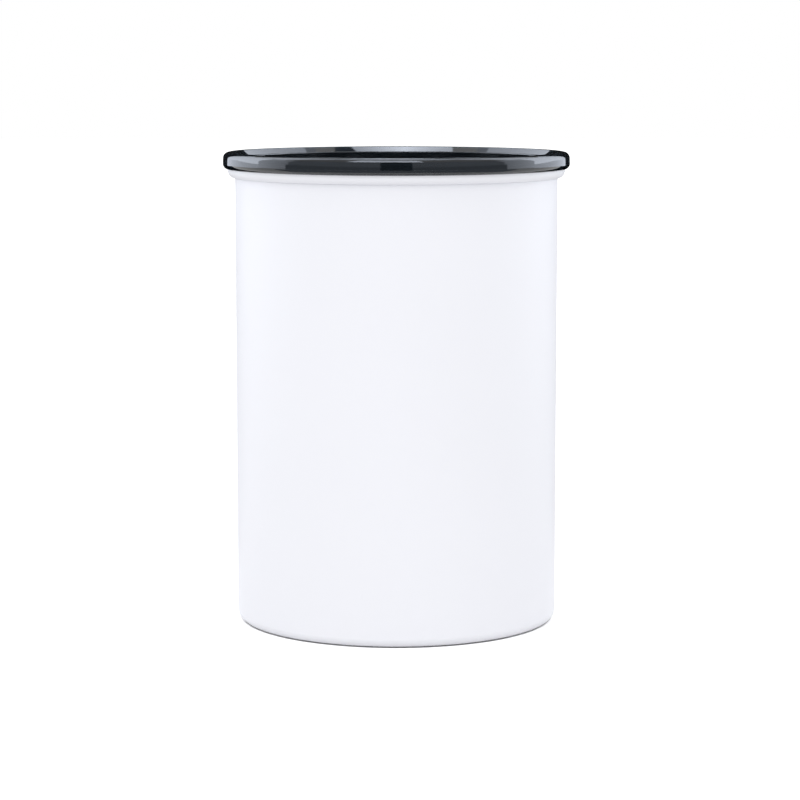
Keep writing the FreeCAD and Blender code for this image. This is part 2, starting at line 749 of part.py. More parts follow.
def helix_biarc(start, start_way, end, end_way):
    """Two tangent arcs from one point to another, given the directions there."""
    span = end - start
    ways = start_way + end_way
    a = ways.dot(ways) - 4
    b = -2 * span.dot(ways)
    c = span.dot(span)
    reach = (-b - math.sqrt(b * b - 4 * a * c)) / (2 * a)
    first_knee = start + start_way * reach
    last_knee = end - end_way * reach
    middle = (first_knee + last_knee) * 0.5
    return [knee_arc(start, first_knee, middle), knee_arc(middle, last_knee, end)]


def knee_arc(start, knee, end):
    """The arc that leaves start towards the knee and reaches end coming from it."""
    centre = (start + end) * 0.5
    half_chord = start.distanceToPoint(end) / 2
    rise = knee - centre
    sagitta = half_chord * math.tan(math.atan2(rise.Length, half_chord) / 2)
    return Part.Arc(start, centre + rise * (sagitta / rise.Length), end).toShape()


def make_valve_spring(doc, d):
    """Compression spring round the stem guide, between the poppet and the cap's top."""
    wire = d.spring_wire.value
    radius = (d.guide_out + d.spring_play).value + wire / 2
    low = (d.poppet_top + d.spring_end_gap).value + wire / 2
    rise = (d.spring_length - 2 * d.spring_end_gap).value - wire
    slope = rise / (SPRING_TURNS * 2 * math.pi)

    def place(turns):
        angle = turns * 2 * math.pi
        return FreeCAD.Vector(radius * math.cos(angle), radius * math.sin(angle), low + slope * angle)

    def way(turns):
        angle = turns * 2 * math.pi
        return FreeCAD.Vector(-radius * math.sin(angle), radius * math.cos(angle), slope).normalize()

    stops = [step / ARCS_PER_TURN for step in range(round(SPRING_TURNS * ARCS_PER_TURN) + 1)]
    edges = []
    for first, last in zip(stops, stops[1:]):
        edges += helix_biarc(place(first), way(first), place(last), way(last))
    section = Part.Wire(Part.makeCircle(wire / 2, place(0), way(0)))
    spring = doc.addObject("Part::Feature", "valve_spring")
    spring.Label = "valve_spring"
    spring.Shape = Part.Wire(edges).makePipeShell([section], True, False)
    spring.Placement.Base.z = d.plunger_height.value
    samples = [place(step / SAMPLES_PER_TURN) for step in range(round(SPRING_TURNS * SAMPLES_PER_TURN) + 1)]
    apart = SAMPLES_PER_TURN * 3 // 4
    nearest = min(a.distanceToPoint(b) for index, a in enumerate(samples) for b in samples[index + apart:])
    length = spring.Shape.Volume / (math.pi * wire * wire / 4)
    print(f"valve_spring: least gap to itself {nearest - wire:.2f} mm, wire length {length:.1f} mm")
    return spring


def make_lift_pin(doc, d):
    """Cross pin through the stem; its ends ride on the handle's cams."""
    body = new_body(doc, "lift_pin", z=d.plunger_height + d.lift_axis)
    sketch = new_sketch(body, "lift_pin_profile", "XZ_Plane")
    end = d.hub_start - d.lift_pin_end_gap
    radius = d.lift_pin_diameter / 2
    pen = Pen(sketch, -end, 0)
    pen.line(end, 0)
    pen.line(end, radius - d.pin_chamfer)
    pen.line(end - d.pin_chamfer, radius)
    pen.line(d.pin_chamfer - end, radius)
    pen.line(-end, radius - d.pin_chamfer)
    pen.close()
    turn_profile(body, sketch, "H_Axis")
    return body


def make_handle(doc, d):
    """Folding loop handle. Each leg ends in a round hub with a cam that is off the pivot."""
    body = new_body(doc, "handle", z=d.plunger_height + d.pivot_height)
    path = new_sketch(body, "loop_path", "XY_Plane")
    corner_y = d.handle_reach - d.loop_corner
    corner_x = d.loop_half_width - d.loop_corner
    flare_end = corner_y - d.side_straight
    # each leg widens by two equal bends that meet halfway
    bend_run = (flare_end - d.leg_straight) / 2
    bend_step = (d.loop_half_width - d.leg_middle) / 2
    flare_radius = (bend_run * bend_run + bend_step * bend_step) / (2 * bend_step)
    knee_x = d.leg_middle + bend_step
    knee_y = d.leg_straight + bend_run
    flare_in = d.leg_middle + flare_radius
    flare_out = d.loop_half_width - flare_radius
    pen = Pen(path, d.leg_middle, 0)
    pen.line(d.leg_middle, d.leg_straight)
    pen.arc(knee_x, knee_y, flare_in, d.leg_straight, RIGHT_TURN)
    pen.arc(d.loop_half_width, flare_end, flare_out, flare_end, LEFT_TURN)
    pen.line(d.loop_half_width, corner_y)
    pen.arc(corner_x, d.handle_reach, corner_x, corner_y, LEFT_TURN)
    pen.line(-corner_x, d.handle_reach)
    pen.arc(-d.loop_half_width, corner_y, -corner_x, corner_y, LEFT_TURN)
    pen.line(-d.loop_half_width, flare_end)
    pen.arc(-knee_x, knee_y, -flare_out, flare_end, LEFT_TURN)
    pen.arc(-d.leg_middle, d.leg_straight, -flare_in, d.leg_straight, RIGHT_TURN)
    pen.line(-d.leg_middle, 0)
    pen.stop()

    section = new_sketch(body, "grip_section", "XZ_Plane")
    half_width = d.hub_width / 2
    half_height = d.grip_thickness / 2
    inner, outer = d.leg_middle - half_width, d.leg_middle + half_width
    edge = d.grip_round
    pen = Pen(section, inner + edge, -half_height)
    pen.line(outer - edge, -half_height)
    pen.arc(outer, edge - half_height, outer - edge, edge - half_height, LEFT_TURN)
    pen.line(outer, half_height - edge)
    pen.arc(outer - edge, half_height, outer - edge, half_height - edge, LEFT_TURN)
    pen.line(inner + edge, half_height)
    pen.arc(inner, half_height - edge, inner + edge, half_height - edge, LEFT_TURN)
    pen.line(inner, edge - half_height)
    pen.arc(inner + edge, -half_height, inner + edge, edge - half_height, LEFT_TURN)
    pen.close()
    doc.recompute()
    loop = body.newObject("PartDesign::AdditivePipe", "loop")
    loop.Profile = section
    loop.Spine = path
    doc.recompute()

    hub = new_sketch(body, "hub_circle", "YZ_Plane", d.hub_start)
    draw_circle(hub, 0, 0, d.hub_radius)
    mirror(body, [pad(body, hub, d.hub_width)], "YZ_Plane")
    cam = new_sketch(body, "cam_circle", "YZ_Plane", d.cam_start)
    draw_circle(cam, d.cam_offset, -d.cam_offset, d.cam_radius)
    mirror(body, [pad(body, cam, d.cam_width)], "YZ_Plane")
    bore = new_sketch(body, "pivot_bore", "YZ_Plane")
    draw_circle(bore, 0, 0, d.pivot_diameter / 2 + d.pivot_clearance)
    cut_through(body, bore)
    return body


def make_pivot_pin(doc, d, side, turned):
    """Headed pin pressed into an ear, with the handle's hub and cam turning on it."""
    body = new_body(doc, f"pivot_pin_{side}", z=d.plunger_height + d.pivot_height)
    body.Placement.Rotation = FreeCAD.Rotation(FreeCAD.Vector(0, 0, 1), turned)
    sketch = new_sketch(body, f"pin_profile_{side}", "XZ_Plane")
    tip = d.cam_start + d.pivot_tip_gap
    radius = d.pivot_diameter / 2
    head = d.pivot_head_diameter / 2
    half_head = d.pivot_head_height / 2
    pen = Pen(sketch, tip, 0)
    pen.line(tip, radius - d.pin_chamfer)
    pen.line(tip + d.pin_chamfer, radius)
    pen.line(d.ear_end, radius)
    pen.line(d.ear_end, head)
    pen.line(d.ear_end + half_head, head)
    pen.line(d.ear_end + d.pivot_head_height, head - half_head)
    pen.line(d.ear_end + d.pivot_head_height, 0)
    pen.close()
    turn_profile(body, sketch, "H_Axis")
    return body


def check_document(doc, parts):
    for thing in doc.Objects:
        if any(word in state for state in thing.State for word in ("Invalid", "Error")):
            raise RuntimeError(f"{thing.Name} failed: {thing.State}")
    for part in parts:
        if part.Shape.isNull() or not part.Shape.isValid():
            raise RuntimeError(f"{part.Label} has no valid shape")


def main():
    doc = FreeCAD.newDocument("CoffeeCanister")
    d = make_sheet(doc)
    work_out(d)
    parts = [
        make_canister(doc, d),
        make_outer_lid(doc, d),
        make_plunger_disc(doc, d),
        make_plunger_seal(doc, d),
        make_valve_cap(doc, d),
        make_cap_screws(doc, d),
        make_valve_poppet(doc, d),
        make_valve_washer(doc, d),
        make_valve_spring(doc, d),
        make_lift_pin(doc, d),
        make_handle(doc, d),
        make_pivot_pin(doc, d, "right", 0),
        make_pivot_pin(doc, d, "left", 180),
    ]
    doc.recompute()
    check_document(doc, parts)
    os.makedirs("parts", exist_ok=True)
    for part in parts:
        part.Shape.exportStep(f"parts/{part.Label}.step")
        box = part.Shape.BoundBox
        print(f"{part.Label}: {len(part.Shape.Solids)} solid, {part.Shape.Volume / 1000:.2f} cm3, "
              f"z {box.ZMin:.2f} to {box.ZMax:.2f}, across {box.XLength:.2f} x {box.YLength:.2f}")


main()
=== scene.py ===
import json
import math

import bmesh
import bpy
from bpy.props import FloatProperty, FloatVectorProperty, PointerProperty
from bpy.types import Operator, Panel, PropertyGroup
from mathutils import Matrix, Vector


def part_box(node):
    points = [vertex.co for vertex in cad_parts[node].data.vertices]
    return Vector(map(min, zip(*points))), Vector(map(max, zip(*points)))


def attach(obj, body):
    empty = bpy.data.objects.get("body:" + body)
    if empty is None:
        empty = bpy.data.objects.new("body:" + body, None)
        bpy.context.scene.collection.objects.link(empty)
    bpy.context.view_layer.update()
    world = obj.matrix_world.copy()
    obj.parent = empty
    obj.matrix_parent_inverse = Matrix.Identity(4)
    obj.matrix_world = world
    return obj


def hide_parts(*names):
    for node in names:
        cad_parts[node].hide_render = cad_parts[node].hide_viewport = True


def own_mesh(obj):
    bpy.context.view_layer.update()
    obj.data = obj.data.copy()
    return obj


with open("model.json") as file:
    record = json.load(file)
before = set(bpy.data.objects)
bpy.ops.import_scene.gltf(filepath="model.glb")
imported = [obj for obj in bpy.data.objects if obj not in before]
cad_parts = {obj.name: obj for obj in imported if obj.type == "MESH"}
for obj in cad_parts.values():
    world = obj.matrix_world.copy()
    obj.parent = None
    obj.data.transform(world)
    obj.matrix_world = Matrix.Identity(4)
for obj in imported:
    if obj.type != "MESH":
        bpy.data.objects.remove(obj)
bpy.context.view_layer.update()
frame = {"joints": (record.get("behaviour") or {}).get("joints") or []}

bl_info = {
    "name": "Coffee canister",
    "version": (1, 0, 0),
    "blender": (4, 5, 0),
    "location": "View3D > Sidebar > Canister",
    "description": "Models and finishes a steel coffee canister, its smoke lid and its valved inner lid",
    "category": "Object",
}

MM = 0.001
UP = Vector((0, 0, 1))
TURN_STEPS = ((20 * MM, 192), (6 * MM, 96), (0, 48))
BEND_STEP = math.radians(10)
SHARP_EDGE = math.radians(36)
SAME_PLACE = 2e-6
CUT_PAST = 1 * MM


# Sizes and colours that a user may change

def length(name, size_mm, about):
    """A length given in millimetres and kept in metres."""
    return FloatProperty(name=name, description=about, default=size_mm * MM, unit="LENGTH", precision=5)


def measured(name, metres, about):
    """A length that the loaded frame gives."""
    return FloatProperty(name=name, description=about, default=metres, unit="LENGTH", precision=5)


def colour(name, value, about):
    return FloatVectorProperty(name=name, description=about, default=value, size=3, min=0, max=1,
                               subtype="COLOR")


def plain(name, value, about):
    return FloatProperty(name=name, description=about, default=value, precision=3)


def mid_height(node):
    """Height of the middle of a CAD node."""
    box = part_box(node)
    return box[0].z / 2 + box[1].z / 2


class ShellSizes(PropertyGroup):
    """Drawn steel shell of the canister."""

    rim_height: measured("Rim height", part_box("canister_body")[1].z, "Top of the rolled rim above the base")
    roll_radius: measured("Roll radius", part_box("canister_body")[1].x, "Outside of the rolled rim")
    wall_radius: length("Wall radius", 60.0, "Outside of the painted wall")
    sheet: length("Sheet", 0.6, "Thickness of the steel sheet")
    base_corner: length("Base corner", 3.3, "Outside radius between wall and base")
    foot_width: length("Foot width", 9.0, "Flat ring that the canister stands on")
    base_rise: length("Base rise", 1.2, "Height of the raised middle of the base")
    base_slope: length("Base slope", 1.8, "Width of the step up to the raised middle")
    # Painted shadow: the dark coat on the base's lowest downward faces stands in for the shadow under its
    # rounded edge.
    shadow_coat_edge: length("Coat edge", 0.5, "Height to which the base has a dark coat underneath")
    roll_height: length("Roll height", 7.0, "Height of the rolled rim")
    roll_gap: length("Roll gap", 0.2, "Gap between the roll's tucked edge and the wall")


class LidSizes(PropertyGroup):
    """Push-on lid of smoke-tinted plastic."""

    crest_height: measured("Crest height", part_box("outer_lid")[1].z, "Top of the lid above the base")
    underside: measured("Underside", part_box("outer_lid")[0].z, "Underside of the sunken panel above the base")
    clearance: length("Clearance", 0.3, "Between the lid and the rolled rim")
    wall: length("Wall", 1.5, "Thickness of the skirt and of the plug's wall")
    crest: length("Crest", 2.2, "Thickness of the lid over the rim")
    panel: length("Panel", 1.6, "Thickness of the sunken panel")
    skirt: length("Skirt", 2.1, "Straight depth of the skirt above its lip, inside")
    slope: length("Slope", 3.2, "Width of the slope inside the crest")
    slope_drop: length("Slope drop", 2.0, "Height of the slope inside the crest")
    draft: length("Draft", 0.12, "How much narrower the skirt is at the crest")
    crest_round: length("Crest round", 2.2, "Radius at the crest's outer edge")
    crest_inner_round: length("Inner crest round", 1.2, "Radius at the crest's inner edge")
    slope_round: length("Slope round", 0.5, "Radius where the slope meets the recess's wall")
    panel_round: length("Panel round", 1.2, "Radius where the recess's wall meets the panel")
    plug_round: length("Plug round", 1.2, "Radius at the plug's lower edge")
    lip_round: length("Lip round", 2.0, "Radius of the skirt's lip")
    ceiling_round: length("Ceiling round", 0.4, "Radius over the rolled rim")


class InnerLidSizes(PropertyGroup):
    """Sliding inner lid: dish and wiper ring."""

    underside: measured("Underside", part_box("plunger_disc")[0].z, "Underside of the inner lid above the base")
    rim_top: measured("Rim top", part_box("plunger_disc")[1].z, "Top of the dish's rim above the base")
    flange: measured("Flange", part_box("plunger_disc")[1].x, "Radius of the dish's flanges")
    wiper: measured("Wiper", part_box("plunger_seal")[1].x, "Radius of the wiper ring's lips")
    wiper_low: measured("Wiper bottom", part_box("plunger_seal")[0].z, "Lower edge of the wiper ring")
    wiper_high: measured("Wiper top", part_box("plunger_seal")[1].z, "Upper edge of the wiper ring")
    floor: length("Floor", 2.4, "Thickness of the dish's floor")
    groove_shelf: length("Groove shelf", 3.6, "Flange under the wiper ring's groove")
    groove_width: length("Groove width", 8.8, "Height of the groove")
    groove_depth: length("Groove depth", 1.8, "Depth of the groove")
    groove_wall: length("Groove wall", 2.4, "Wall behind the groove")
    dish_round: length("Dish round", 4.0, "Radius between the floor and the rim")
    rim_round: length("Rim round", 1.0, "Radius at the rim's edges")
    wiper_fit: length("Wiper fit", 0.05, "Between the wiper ring and its groove")
    wiper_band: length("Wiper band", 1.2, "Thickness of the wiper ring behind its lips")
    lip_root: length("Lip root", 2.2, "Height of a lip where it leaves the band")
    lip_tip: length("Lip tip", 0.7, "Height of a lip at its edge")
    lip_inset: length("Lip inset", 0.7, "From the wiper ring's edge to a lip")
    vent_radius: length("Vent radius", 1.6, "Air holes through the floor")
    vent_circle: length("Vent circle", 4.2, "Circle of air holes")
    seat_in: length("Seat inside", 6.4, "Inside radius of the raised valve seat")
    seat_out: length("Seat outside", 7.4, "Outside radius of the raised valve seat")
    seat_height: length("Seat height", 0.6, "Height of the raised valve seat")
    ear_start: length("Ear start", 21.9, "From the middle to an ear")
    ear_thickness: length("Ear thickness", 4.0, "Ear that carries a pivot pin")
    ear_radius: length("Ear radius", 4.6, "Round top of an ear")
    ear_spread: length("Ear spread", 2.6, "Radius at the foot of an ear")
    rest_width: length("Rest width", 5.0, "Handle rest on the floor")
    rest_spread: length("Rest spread", 12.0, "From the middle to a handle rest")
    rest_gap: length("Rest gap", 0.3, "Between the folded handle and its rests")


class ValveSizes(PropertyGroup):
    """Valve in the middle of the inner lid."""

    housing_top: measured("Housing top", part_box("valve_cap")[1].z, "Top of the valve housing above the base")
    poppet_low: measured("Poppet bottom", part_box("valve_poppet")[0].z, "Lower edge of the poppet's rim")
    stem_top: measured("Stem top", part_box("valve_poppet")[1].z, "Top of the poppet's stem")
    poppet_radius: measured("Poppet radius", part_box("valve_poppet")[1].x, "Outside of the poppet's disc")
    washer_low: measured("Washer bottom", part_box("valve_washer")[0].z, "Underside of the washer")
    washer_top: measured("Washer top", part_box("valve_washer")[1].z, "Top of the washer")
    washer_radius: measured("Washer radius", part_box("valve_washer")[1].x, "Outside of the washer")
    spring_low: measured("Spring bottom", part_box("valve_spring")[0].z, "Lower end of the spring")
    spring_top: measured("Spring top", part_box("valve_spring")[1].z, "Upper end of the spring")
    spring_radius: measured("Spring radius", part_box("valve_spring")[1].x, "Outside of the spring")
    spring_wire: length("Spring wire", 0.7, "Diameter of the spring's wire")
    spring_turns: plain("Spring turns", 4.25, "Turns of the spring")
    poppet_web: length("Poppet web", 1.6, "Thickness of the poppet above the washer")
    poppet_rim: length("Poppet rim", 0.75, "Rim of the poppet round the washer")
    stem_radius: length("Stem radius", 3.0, "Poppet stem")
    housing_in: length("Housing inside", 9.9, "Inside radius of the valve housing")
    housing_wall: length("Housing wall", 1.5, "Wall of the valve housing")
    housing_roof: length("Housing roof", 1.6, "Top of the valve housing")
    housing_round: length("Housing round", 1.0, "Radius at the housing's upper edge")
    guide_in: length("Guide inside", 3.1, "Inside radius of the stem guide")
    guide_wall: length("Guide wall", 1.4, "Wall of the stem guide")
    guide_drop: length("Guide drop", 2.8, "Stem guide below the roof")
    slot_width: length("Slot width", 4.0, "Air slots in the housing's wall")
    slot_height: length("Slot height", 3.0, "Height of an air slot")
    slot_rise: length("Slot rise", 0.8, "Wall under an air slot")
    lobe_seat: length("Lobe seat", 7.0, "Underside of a fixing lobe above the dish's underside")
    lobe_thickness: length("Lobe thickness", 2.0, "Fixing lobes of the housing")
    post_radius: length("Post radius", 3.75, "Screw posts and the lobes on them")
    screw_place: length("Screw place", 15.6, "From the middle to a screw's axis")
    screw_radius: length("Screw radius", 1.45, "Screw shank")
    screw_length: length("Screw length", 6.4, "Screw under its head")
    screw_head: length("Screw head", 2.8, "Radius of a screw's head")
    screw_head_height: length("Head height", 1.8, "Height of a screw's head")
    cross_length: length("Cross length", 3.3, "Length of the recess in a screw's head")
    cross_width: length("Cross width", 0.75, "Width of the recess in a screw's head")
    cross_depth: length("Cross depth", 1.0, "Depth of the recess in a screw's head")


class HandleSizes(PropertyGroup):
    """Folding handle, its pivot pins and the pin that lifts the valve."""

    pivot_height: measured("Pivot height", mid_height("pivot_pin_left"), "Pivot axis above the base")
    lift_height: measured("Lift pin height", mid_height("lift_pin"),
                          "Lift pin's axis above the base, with the valve shut")
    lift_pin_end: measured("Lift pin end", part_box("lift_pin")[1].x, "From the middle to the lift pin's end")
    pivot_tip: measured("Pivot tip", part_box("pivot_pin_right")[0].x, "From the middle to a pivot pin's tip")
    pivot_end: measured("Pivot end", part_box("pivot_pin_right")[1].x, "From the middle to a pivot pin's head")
    lift_pin_radius: length("Lift pin radius", 1.25, "Cross pin through the stem")
    pin_chamfer: length("Pin chamfer", 0.3, "Chamfer on the pins' ends")
    pivot_radius: length("Pivot radius", 1.5, "Pivot pin")
    pivot_head: length("Pivot head", 2.7, "Radius of a pivot pin's head")
    pivot_head_height: length("Pivot head height", 1.2, "Height of a pivot pin's head")
    cam_start: length("Cam start", 12.2, "From the middle to a cam")
    cam_width: length("Cam width", 4.4, "Width of a cam")
    cam_radius: length("Cam radius", 4.2, "Radius of a cam")
    cam_offset: length("Cam offset", 1.0, "Cam's centre off the pivot, back and down")
    leg_width: length("Leg width", 5.0, "Width of the handle's leg")
    hub_radius: length("Hub radius", 4.6, "Round end of the handle's leg")
    thickness: length("Thickness", 6.0, "Thickness of the handle")
    grip_round: length("Grip round", 2.2, "Radius along the handle's edges")
    reach: length("Reach", 34.0, "From the pivot to the middle of the grip")
    loop_half_width: length("Loop half width", 25.5, "From the middle to the loop's side")
    leg_straight: length("Leg straight", 7.0, "Straight start of a leg")
    loop_corner: length("Loop corner", 9.0, "Bends at the ends of the grip")
    side_straight: length("Side straight", 0.4, "Straight side of the loop before those bends")


class Finishes(PropertyGroup):
    """Colours of the finishes."""

    paint: colour("Paint", (0.885, 0.890, 0.936), "Satin paint outside")
    bare_steel: colour("Bare steel", (0.70, 0.695, 0.685), "Steel inside the canister")
    bright_steel: colour("Bright steel", (0.62, 0.62, 0.63), "Pins, screws and spring")
    smoke: colour("Smoke", (0.015, 0.0225, 0.030), "Tint of the smoke lid")
    black: colour("Black", (0.022, 0.023, 0.025), "Inner lid and handle")
    grey: colour("Grey", (0.105, 0.108, 0.114), "Valve housing and poppet")
    silicone: colour("Silicone", (0.40, 0.41, 0.42), "Wiper ring and washer")


class StageSettings(PropertyGroup):
    """Camera, floor and studio light."""

    camera_distance: measured("Camera distance", 0.9811, "From the canister's axis to the camera")
    camera_height: measured("Camera height", 0.20945, "Camera above the floor")
    aim_height: measured("Aim height", 0.08212, "Where the camera's line crosses the canister's axis")
    aim_side: measured("Aim side", 0.00134, "How far that line passes to the right of the axis")
    lens_mm: plain("Lens", 118.23, "Focal length in millimetres on a 36 mm sensor")
    floor_colour: colour("Floor", (0.75, 0.75, 0.75), "Pale floor")
    floor_lift: plain("Floor lift", 1.9, "How much paler the floor is where it is seen than where it lights")
    fill: plain("Fill", 0.95, "Even light from all round")
    key_power: plain("Key", 9.55, "Large soft lamp above the front, in watts")


class CanisterSettings(PropertyGroup):
    """All sizes, colours and stage settings."""

    shell: PointerProperty(type=ShellSizes)
    lid: PointerProperty(type=LidSizes)
    inner: PointerProperty(type=InnerLidSizes)
    valve: PointerProperty(type=ValveSizes)
    handle: PointerProperty(type=HandleSizes)
    finish: PointerProperty(type=Finishes)
    stage: PointerProperty(type=StageSettings)


def settings():
    return bpy.context.scene.canister_settings


# Mesh tools

def points(geom):
    """The points among some geometry."""
    return [part for part in geom if isinstance(part, bmesh.types.BMVert)]


def run(bm, geom, step):
    """Extrudes points or edges straight along a step."""
    if step.length < SAME_PLACE:
        return geom
    made = bmesh.ops.extrude_face_region(bm, geom=geom)["geom"]
    bmesh.ops.translate(bm, verts=points(made), vec=step)
    return made


def sweep(bm, geom, path):
    """Carries points or edges along corners, each a place and a radius: runs are extruded, bends are spun."""
    here = path[0][0]
    for index, (corner, radius) in enumerate(path[1:], start=1):
        if radius == 0:
            geom = run(bm, geom, corner - here)
            here = corner
            continue
        back = (path[index - 1][0] - corner).normalized()
        onward = (path[index + 1][0] - corner).normalized()
        half = back.angle(onward) / 2
        trim = radius / math.tan(half)
        centre = corner + (back + onward).normalized() * (radius / math.sin(half))
        geom = run(bm, geom, corner + back * trim - here)
        bend = math.pi - 2 * half
        geom = bmesh.ops.spin(
            bm, geom=geom, cent=centre, axis=onward.cross(back), dvec=(0, 0, 0), angle=bend,
            steps=math.ceil(bend / BEND_STEP))["geom_last"]
        here = corner + onward * trim
    return geom


def settle(bm):
    """Merges seams and poles and turns every face outwards."""
    bmesh.ops.remove_doubles(bm, verts=bm.verts, dist=SAME_PLACE)
    bmesh.ops.recalc_face_normals(bm, faces=bm.faces)
    return bm


def capped(bm):
    """Closes the open ends and settles the mesh."""
    bmesh.ops.holes_fill(bm, edges=[edge for edge in bm.edges if edge.is_boundary], sides=0)
    return settle(bm)


def draw(path):
    """A wire through corners, each a place and a radius."""
    bm = bmesh.new()
    sweep(bm, [bm.verts.new(path[0][0])], path)
    bmesh.ops.remove_doubles(bm, verts=bm.verts, dist=SAME_PLACE)
    return bm


def profile(corners):
    """Corners (radius from the axis, height, rounding) as places in the upright plane."""
    return [(Vector((corner[0], 0, corner[1])), corner[2] if len(corner) > 2 else 0) for corner in corners]


def turned(corners, closed=False):
    """A profile turned about the upright axis. A closed one is a ring that stays clear of the axis."""
    if closed:
        corners = [*corners, corners[0]]
    bm = draw(profile(corners))
    widest = max(corner[0] for corner in corners)
    steps = next(count for radius, count in TURN_STEPS if widest > radius)
    bmesh.ops.spin(bm, geom=bm.verts[:] + bm.edges[:], cent=(0, 0, 0), axis=UP, dvec=(0, 0, 0),
                   angle=2 * math.pi, steps=steps, use_merge=True)
    return settle(bm)


def rod(radius, low, high, low_round=0, high_round=0):
    """An upright cylinder, with its ends rounded where asked."""
    return turned([(0, low), (radius, low, low_round), (radius, high, high_round), (0, high)])


def slab(path, thickness):
    """A flat closed outline with a thickness."""
    bm = draw([*path, (path[0][0], 0)])
    face = bmesh.ops.contextual_create(bm, geom=bm.edges[:])["faces"]
    top = bmesh.ops.extrude_face_region(bm, geom=face, use_keep_orig=True)["geom"]
    bmesh.ops.translate(bm, verts=points(top), vec=thickness)
    return settle(bm)


def block(low, high):
    """A box between two corners."""
    bm = bmesh.new()
    bmesh.ops.create_cube(bm, size=1)
    bmesh.ops.scale(bm, verts=bm.verts, vec=high - low)
    bmesh.ops.translate(bm, verts=bm.verts, vec=(low + high) / 2)
    return bm


def soften(bm, radius, segments=3):
    """Rounds every sharp edge."""
    edges = [edge for edge in bm.edges if edge.is_manifold and edge.calc_face_angle() > SHARP_EDGE]
    bmesh.ops.bevel(bm, geom=edges, offset=radius, offset_type="OFFSET", segments=segments, profile=0.5,
                    affect="EDGES", clamp_overlap=True, material=-1)
    return settle(bm)


def moved(bm, step):
    bmesh.ops.translate(bm, verts=bm.verts, vec=step)
    return bm


def spun(bm, degrees, axis="Z"):
    bmesh.ops.rotate(bm, verts=bm.verts, cent=(0, 0, 0),
                     matrix=Matrix.Rotation(math.radians(degrees), 3, axis))
    return bm


def along_x(bm, step):
    """Lays a turned piece's axis along X."""
    return moved(spun(bm, 90, "Y"), step)


def gathered(*meshes):
    """Several meshes as one, side by side."""
    whole = bmesh.new()
    for bm in meshes:
        mesh = bpy.data.meshes.new("part")
        bm.to_mesh(mesh)
        bm.free()
        whole.from_mesh(mesh)
        bpy.data.meshes.remove(mesh)
    return whole


def placed(bm, name):
    """A mesh as an object in the scene."""
    mesh = bpy.data.meshes.new(name)
    bm.to_mesh(mesh)
    bm.free()
    made = bpy.data.objects.new(name, mesh)
    bpy.context.scene.collection.objects.link(made)
    return made


def combined(base, tools, operation):
    """The base mesh united with the tools, or with the tools cut away."""
    helpers = [placed(bm, "helper") for bm in (base, *tools)]
    for tool in helpers[1:]:
        step = helpers[0].modifiers.new("step", "BOOLEAN")
        step.operation = operation
        step.solver = "EXACT"
        step.object = tool
    shaped = helpers[0].evaluated_get(bpy.context.evaluated_depsgraph_get())
    mesh = bpy.data.meshes.new_from_object(shaped)
    whole = bmesh.new()
    whole.from_mesh(mesh)
    bpy.data.meshes.remove(mesh)
    for helper in helpers:
        bpy.data.meshes.remove(helper.data)
    if not whole.faces:
        raise RuntimeError("nothing is left of a combined mesh")
    return settle(whole)


def united(base, *tools):
    return combined(base, tools, "UNION")


def cut(base, *tools):
    return combined(base, tools, "DIFFERENCE")


def piece(bm, name, body, node, slot, *finishes):
    """Makes a finished piece that stands for a CAD node and moves with its body."""
    for face in bm.faces:
        face.smooth = True
    for edge in bm.edges:
        edge.smooth = edge.is_manifold and edge.calc_face_angle() < SHARP_EDGE
    made = placed(bm, name)
    for material in finishes:
        made.data.materials.append(material)
    normals = made.modifiers.new("even_normals", "WEIGHTED_NORMAL")
    normals.keep_sharp = True
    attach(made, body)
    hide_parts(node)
    return made


# Shader tools

class Wire:
    """A shader value. Arithmetic on wires adds the Math nodes that work it out."""

    def __init__(self, nodes, socket):
        self.nodes = nodes
        self.socket = socket

    def maths(self, operation, first, second=0.0):
        return self.nodes.add("ShaderNodeMath", {"operation": operation}, {0: first, 1: second})["Value"]

    def __add__(self, other):
        return self.maths("ADD", self, other)

    def __radd__(self, other):
        return self.maths("ADD", other, self)

    def __sub__(self, other):
        return self.maths("SUBTRACT", self, other)

    def __rsub__(self, other):
        return self.maths("SUBTRACT", other, self)

    def __mul__(self, other):
        return self.maths("MULTIPLY", self, other)

    def __rmul__(self, other):
        return self.maths("MULTIPLY", other, self)

    def __pow__(self, other):
        return self.maths("POWER", self, other)

    def highest(self, other):
        return self.maths("MAXIMUM", self, other)

    def angle_to(self, other):
        return self.maths("ARCTAN2", self, other)


class Outlets:
    """A node's outputs by name."""

    def __init__(self, nodes, node):
        self.nodes = nodes
        self.node = node

    def __getitem__(self, name):
        return Wire(self.nodes, self.node.outputs[name])


